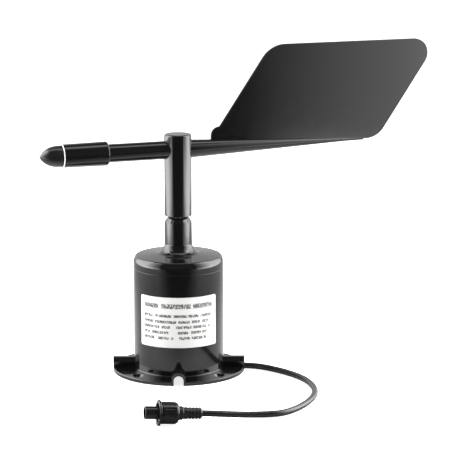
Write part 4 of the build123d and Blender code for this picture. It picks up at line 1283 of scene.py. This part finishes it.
class WINDVANE_OT_plug(bpy.types.Operator):
    """Add the plug: coupling nut, nose with its contacts, and ribbed strain relief"""

    bl_idname = "windvane.add_plug"
    bl_label = "Plug"

    def execute(self, context):
        sizes = context.scene.vane_plug
        ring_front = sizes.ring_thickness / 2
        nut_rear = -ring_front - sizes.nut_length
        boot_front = nut_rear - mm(0.4)
        self.nut(sizes, ring_front, nut_rear)
        self.nose(sizes, boot_front)
        self.boot(sizes, boot_front, context.scene.vane_cable.diameter / 2)
        return {"FINISHED"}

    def nut(self, sizes, ring_front, nut_rear):
        """Coupling nut with its front ring, shallow grip flutes and an inner thread."""
        bore = sizes.nut_radius - mm(1)
        wall_front = nut_rear + mm(6)
        rear_bore = mm(5.9)
        waist = sizes.nut_radius - mm(0.6)
        foot = sizes.nut_radius - mm(0.5)
        edge = mm(0.15)
        crest = bore - mm(0.35)
        threads = []
        pitch = mm(1.5)
        count = int((ring_front - wall_front - mm(2)) / pitch)
        for index in range(count):
            along = wall_front + mm(1) + index * pitch
            threads += [
                (bore, along),
                (crest, along + pitch * 0.35),
                (crest, along + pitch * 0.5),
                (bore, along + pitch * 0.85),
            ]
        outline = (
            (bore, wall_front),
            *threads,
            (bore, ring_front - mm(0.5)),
            (bore + mm(0.5), ring_front),
            (sizes.ring_radius, ring_front, mm(0.6)),
            (sizes.ring_radius, -ring_front, mm(0.6)),
            (waist, -ring_front, edge),
            (waist, -ring_front - mm(1), edge),
            (sizes.nut_radius, -ring_front - mm(1.3), edge),
            (sizes.nut_radius, nut_rear + mm(2.4), edge),
            (foot, nut_rear + mm(2.1)),
            (foot, nut_rear, mm(2.05)),
            (rear_bore, nut_rear),
            (rear_bore, wall_front),
        )
        nut = lathe("nut", outline, steps=144)
        groove = rod_piece(
            "flute", mm(1.1), nut_rear + mm(3), nut_rear + sizes.nut_length - mm(3.4),
            (sizes.nut_radius + mm(0.6), 0), sides=28,
        )
        soften(groove, mm(0.4), 2, SHARP_LIMIT)
        combine(nut, copies_round(groove, 10), "DIFFERENCE")
        lay_along(nut, PLUG_CENTRE, PLUG_DIRECTION)
        nut.name = "coupling_nut_shell"
        settle(nut, "coupling_nut", "plug_plastic", "coupling_nut")

    def nose(self, sizes, boot_front):
        """Plug nose with a stem for the boot, a collar behind the nut, a rim and a key."""
        wall = mm(0.95)
        floor = sizes.nose_length - mm(7)
        collar = -sizes.ring_thickness / 2 - sizes.nut_length + mm(6.5)
        collar_front = collar + mm(2.2)
        collar_radius = mm(7.2)
        rear_radius = mm(5.5)
        outline = (
            (0.0, boot_front - STEM_LENGTH),
            (STEM_RADIUS, boot_front - STEM_LENGTH),
            (STEM_RADIUS, boot_front),
            (rear_radius, boot_front),
            (rear_radius, collar),
            (collar_radius, collar, mm(0.2)),
            (collar_radius, collar_front, mm(0.2)),
            (sizes.nose_radius, collar_front),
            (sizes.nose_radius, sizes.nose_length, mm(0.3)),
            (sizes.nose_radius - wall, sizes.nose_length, mm(0.2)),
            (sizes.nose_radius - wall, floor),
            (0.0, floor),
        )
        nose = lathe("plug_nose", outline, steps=96, closed=False)
        key = box_piece(
            "key", (sizes.nose_radius - wall - mm(0.6), -mm(0.7), floor - mm(0.1)),
            (sizes.nose_radius - mm(0.4), mm(0.7), sizes.nose_length - mm(0.8)),
        )
        combine(nose, key, "UNION")
        lay_along(nose, PLUG_CENTRE, PLUG_DIRECTION)
        settle(nose, "base", "plug_plastic", "plug_body")

    def boot(self, sizes, front, cable_radius):
        """Strain relief with a collar and four grooves."""
        rear = front - sizes.boot_length
        groove_radius = sizes.boot_radius - mm(0.7)
        pitch = mm(2.6)
        grooves = []
        for index in range(3, -1, -1):
            middle = rear + pitch + index * pitch
            grooves += [
                (sizes.boot_radius, middle + mm(0.55), mm(0.16)),
                (groove_radius, middle + mm(0.45), mm(0.12)),
                (groove_radius, middle - mm(0.45), mm(0.12)),
                (sizes.boot_radius, middle - mm(0.55), mm(0.16)),
            ]
        outline = (
            (STEM_RADIUS, front),
            (sizes.boot_head_radius, front, mm(0.35)),
            (sizes.boot_head_radius, front - mm(2.6), mm(0.3)),
            (sizes.boot_radius, front - mm(3.1), mm(0.2)),
            *grooves,
            (sizes.boot_radius, rear + mm(0.9), mm(0.2)),
            (sizes.boot_radius - mm(0.9), rear, mm(0.2)),
            (cable_radius, rear),
            (cable_radius, front - STEM_LENGTH),
            (STEM_RADIUS, front - STEM_LENGTH),
        )
        boot = lathe("strain_relief", outline, steps=96)
        lay_along(boot, PLUG_CENTRE, PLUG_DIRECTION)
        settle(boot, "base", "soft_rubber", "plug_boot")


# Metals: colour, roughness, stretch and scale of the tool marks, and the pieces
METALS = (
    (
        "ground_steel", (0.56, 0.56, 0.55), (0.12, 0.22), (1.0, 1.0, 20.0), 260.0,
        (
            "upper_bearing_outer_ring", "lower_bearing_outer_ring", "upper_bearing_inner_ring",
            "lower_bearing_inner_ring", "upper_bearing_balls", "lower_bearing_balls",
        ),
    ),
    (
        "plated_steel", (0.6, 0.59, 0.57), (0.22, 0.36), (3.0, 3.0, 3.0), 420.0,
        (
            "cover_screws", "outer_spacer", "bearing_circlip", "board_screws", "hub_grub_screw",
            "tie_rod", "spindle", "spindle_clip", "inner_spacer",
        ),
    ),
    (
        "turned_brass", (0.78, 0.57, 0.25), (0.2, 0.32), (1.0, 1.0, 16.0), 260.0,
        ("board_posts", "hub_insert", "counterweight"),
    ),
    ("plated_gold", (0.83, 0.61, 0.24), (0.14, 0.22), (4.0, 4.0, 4.0), 500.0, ["plug_pins"]),
    ("plated_nickel", (0.62, 0.6, 0.55), (0.1, 0.2), (5.0, 5.0, 5.0), 300.0, ["magnet"]),
)
# Plastics: colour, roughness and the pieces
PLASTICS = (
    (
        "cage_nylon", (0.62, 0.58, 0.47), (0.35, 0.5),
        ("upper_bearing_cage", "lower_bearing_cage"),
    ),
    ("carrier_white", (0.72, 0.72, 0.7), (0.3, 0.42), ["magnet_carrier"]),
    ("capacitor_sleeve", (0.02, 0.035, 0.09), (0.25, 0.35), ["board_capacitors"]),
    ("header_green", (0.03, 0.24, 0.1), (0.3, 0.42), ["lead_header"]),
)
LEADS = {
    "lead_red": (0.5, 0.02, 0.015),
    "lead_black": (0.015, 0.015, 0.015),
    "lead_yellow": (0.68, 0.45, 0.03),
    "lead_green": (0.03, 0.3, 0.06),
}
LEAD_GLOSS = (0.3, 0.42)


class WINDVANE_OT_inner_finishes(bpy.types.Operator):
    """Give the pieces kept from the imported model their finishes"""

    bl_idname = "windvane.add_inner_finishes"
    bl_label = "Inner Finishes"

    def execute(self, context):
        for name, colour, rough, stretch, scale, nodes in METALS:
            self.give(metal(name, colour, rough, stretch, scale), nodes)
        for name, colour, gloss, nodes in PLASTICS:
            self.give(moulded(name, colour, gloss), nodes)
        for name, colour in LEADS.items():
            self.give(moulded(name, colour, LEAD_GLOSS), [name])
        chip = moulded("chip_resin", (0.018, 0.018, 0.02), (0.4, 0.55), mm(0.004))
        self.give(chip, ("hall_sensors", "board_chips"))
        self.give(circuit_board("circuit_board"), ["sensor_board"])
        self.give(finish("plug_plastic"), ["bottom_cover"])
        self.give(finish("soft_rubber"), ("cover_gasket", "cap_seal", "cable_grommet", "plug_seal"))
        return {"FINISHED"}

    def give(self, material, nodes):
        """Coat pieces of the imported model."""
        for node in nodes:
            coat(frame["nodes"][node], material)


# ------------------------------------------------------------------ panel
# In the order they run
OPERATORS = (
    WINDVANE_OT_stage,
    WINDVANE_OT_plug,
    WINDVANE_OT_cable,
    WINDVANE_OT_casing,
    WINDVANE_OT_cap,
    WINDVANE_OT_label,
    WINDVANE_OT_hub,
    WINDVANE_OT_nose,
    WINDVANE_OT_tail,
    WINDVANE_OT_inner_finishes,
)

SETTINGS = (
    ("vane_stage", StageSettings, "Stage"),
    ("vane_finishes", Finishes, "Finishes"),
    ("vane_casing", CasingSizes, "Casing"),
    ("vane_cap", CapSizes, "Top Cap"),
    ("vane_hub", HubSizes, "Hub"),
    ("vane_nose", NoseSizes, "Nose"),
    ("vane_tail", TailSizes, "Tail"),
    ("vane_cable", CableSizes, "Cable"),
    ("vane_plug", PlugSizes, "Plug"),
)


class WINDVANE_PT_parts(bpy.types.Panel):
    """Sizes, colours and pieces of the wind vane"""

    bl_idname = "WINDVANE_PT_parts"
    bl_label = "Wind Vane Parts"
    bl_space_type = "VIEW_3D"
    bl_region_type = "UI"
    bl_category = "Wind Vane"

    def draw(self, context):
        for operator in OPERATORS:
            self.layout.operator(operator.bl_idname)
        for name, group, title in SETTINGS:
            box = self.layout.box()
            box.label(text=title)
            settings = getattr(context.scene, name)
            for key in group.__annotations__:
                box.prop(settings, key)


def register():
    for name, group, _ in SETTINGS:
        bpy.utils.register_class(group)
        setattr(bpy.types.Scene, name, bpy.props.PointerProperty(type=group))
    for operator in OPERATORS:
        bpy.utils.register_class(operator)
    bpy.utils.register_class(WINDVANE_PT_parts)


def unregister():
    bpy.utils.unregister_class(WINDVANE_PT_parts)
    for operator in reversed(OPERATORS):
        bpy.utils.unregister_class(operator)
    for name, group, _ in reversed(SETTINGS):
        delattr(bpy.types.Scene, name)
        bpy.utils.unregister_class(group)


def main():
    register()
    for operator in OPERATORS:
        getattr(bpy.ops.windvane, operator.bl_idname.partition(".")[2])()
    deselect()


if __name__ == "__main__":
    main()
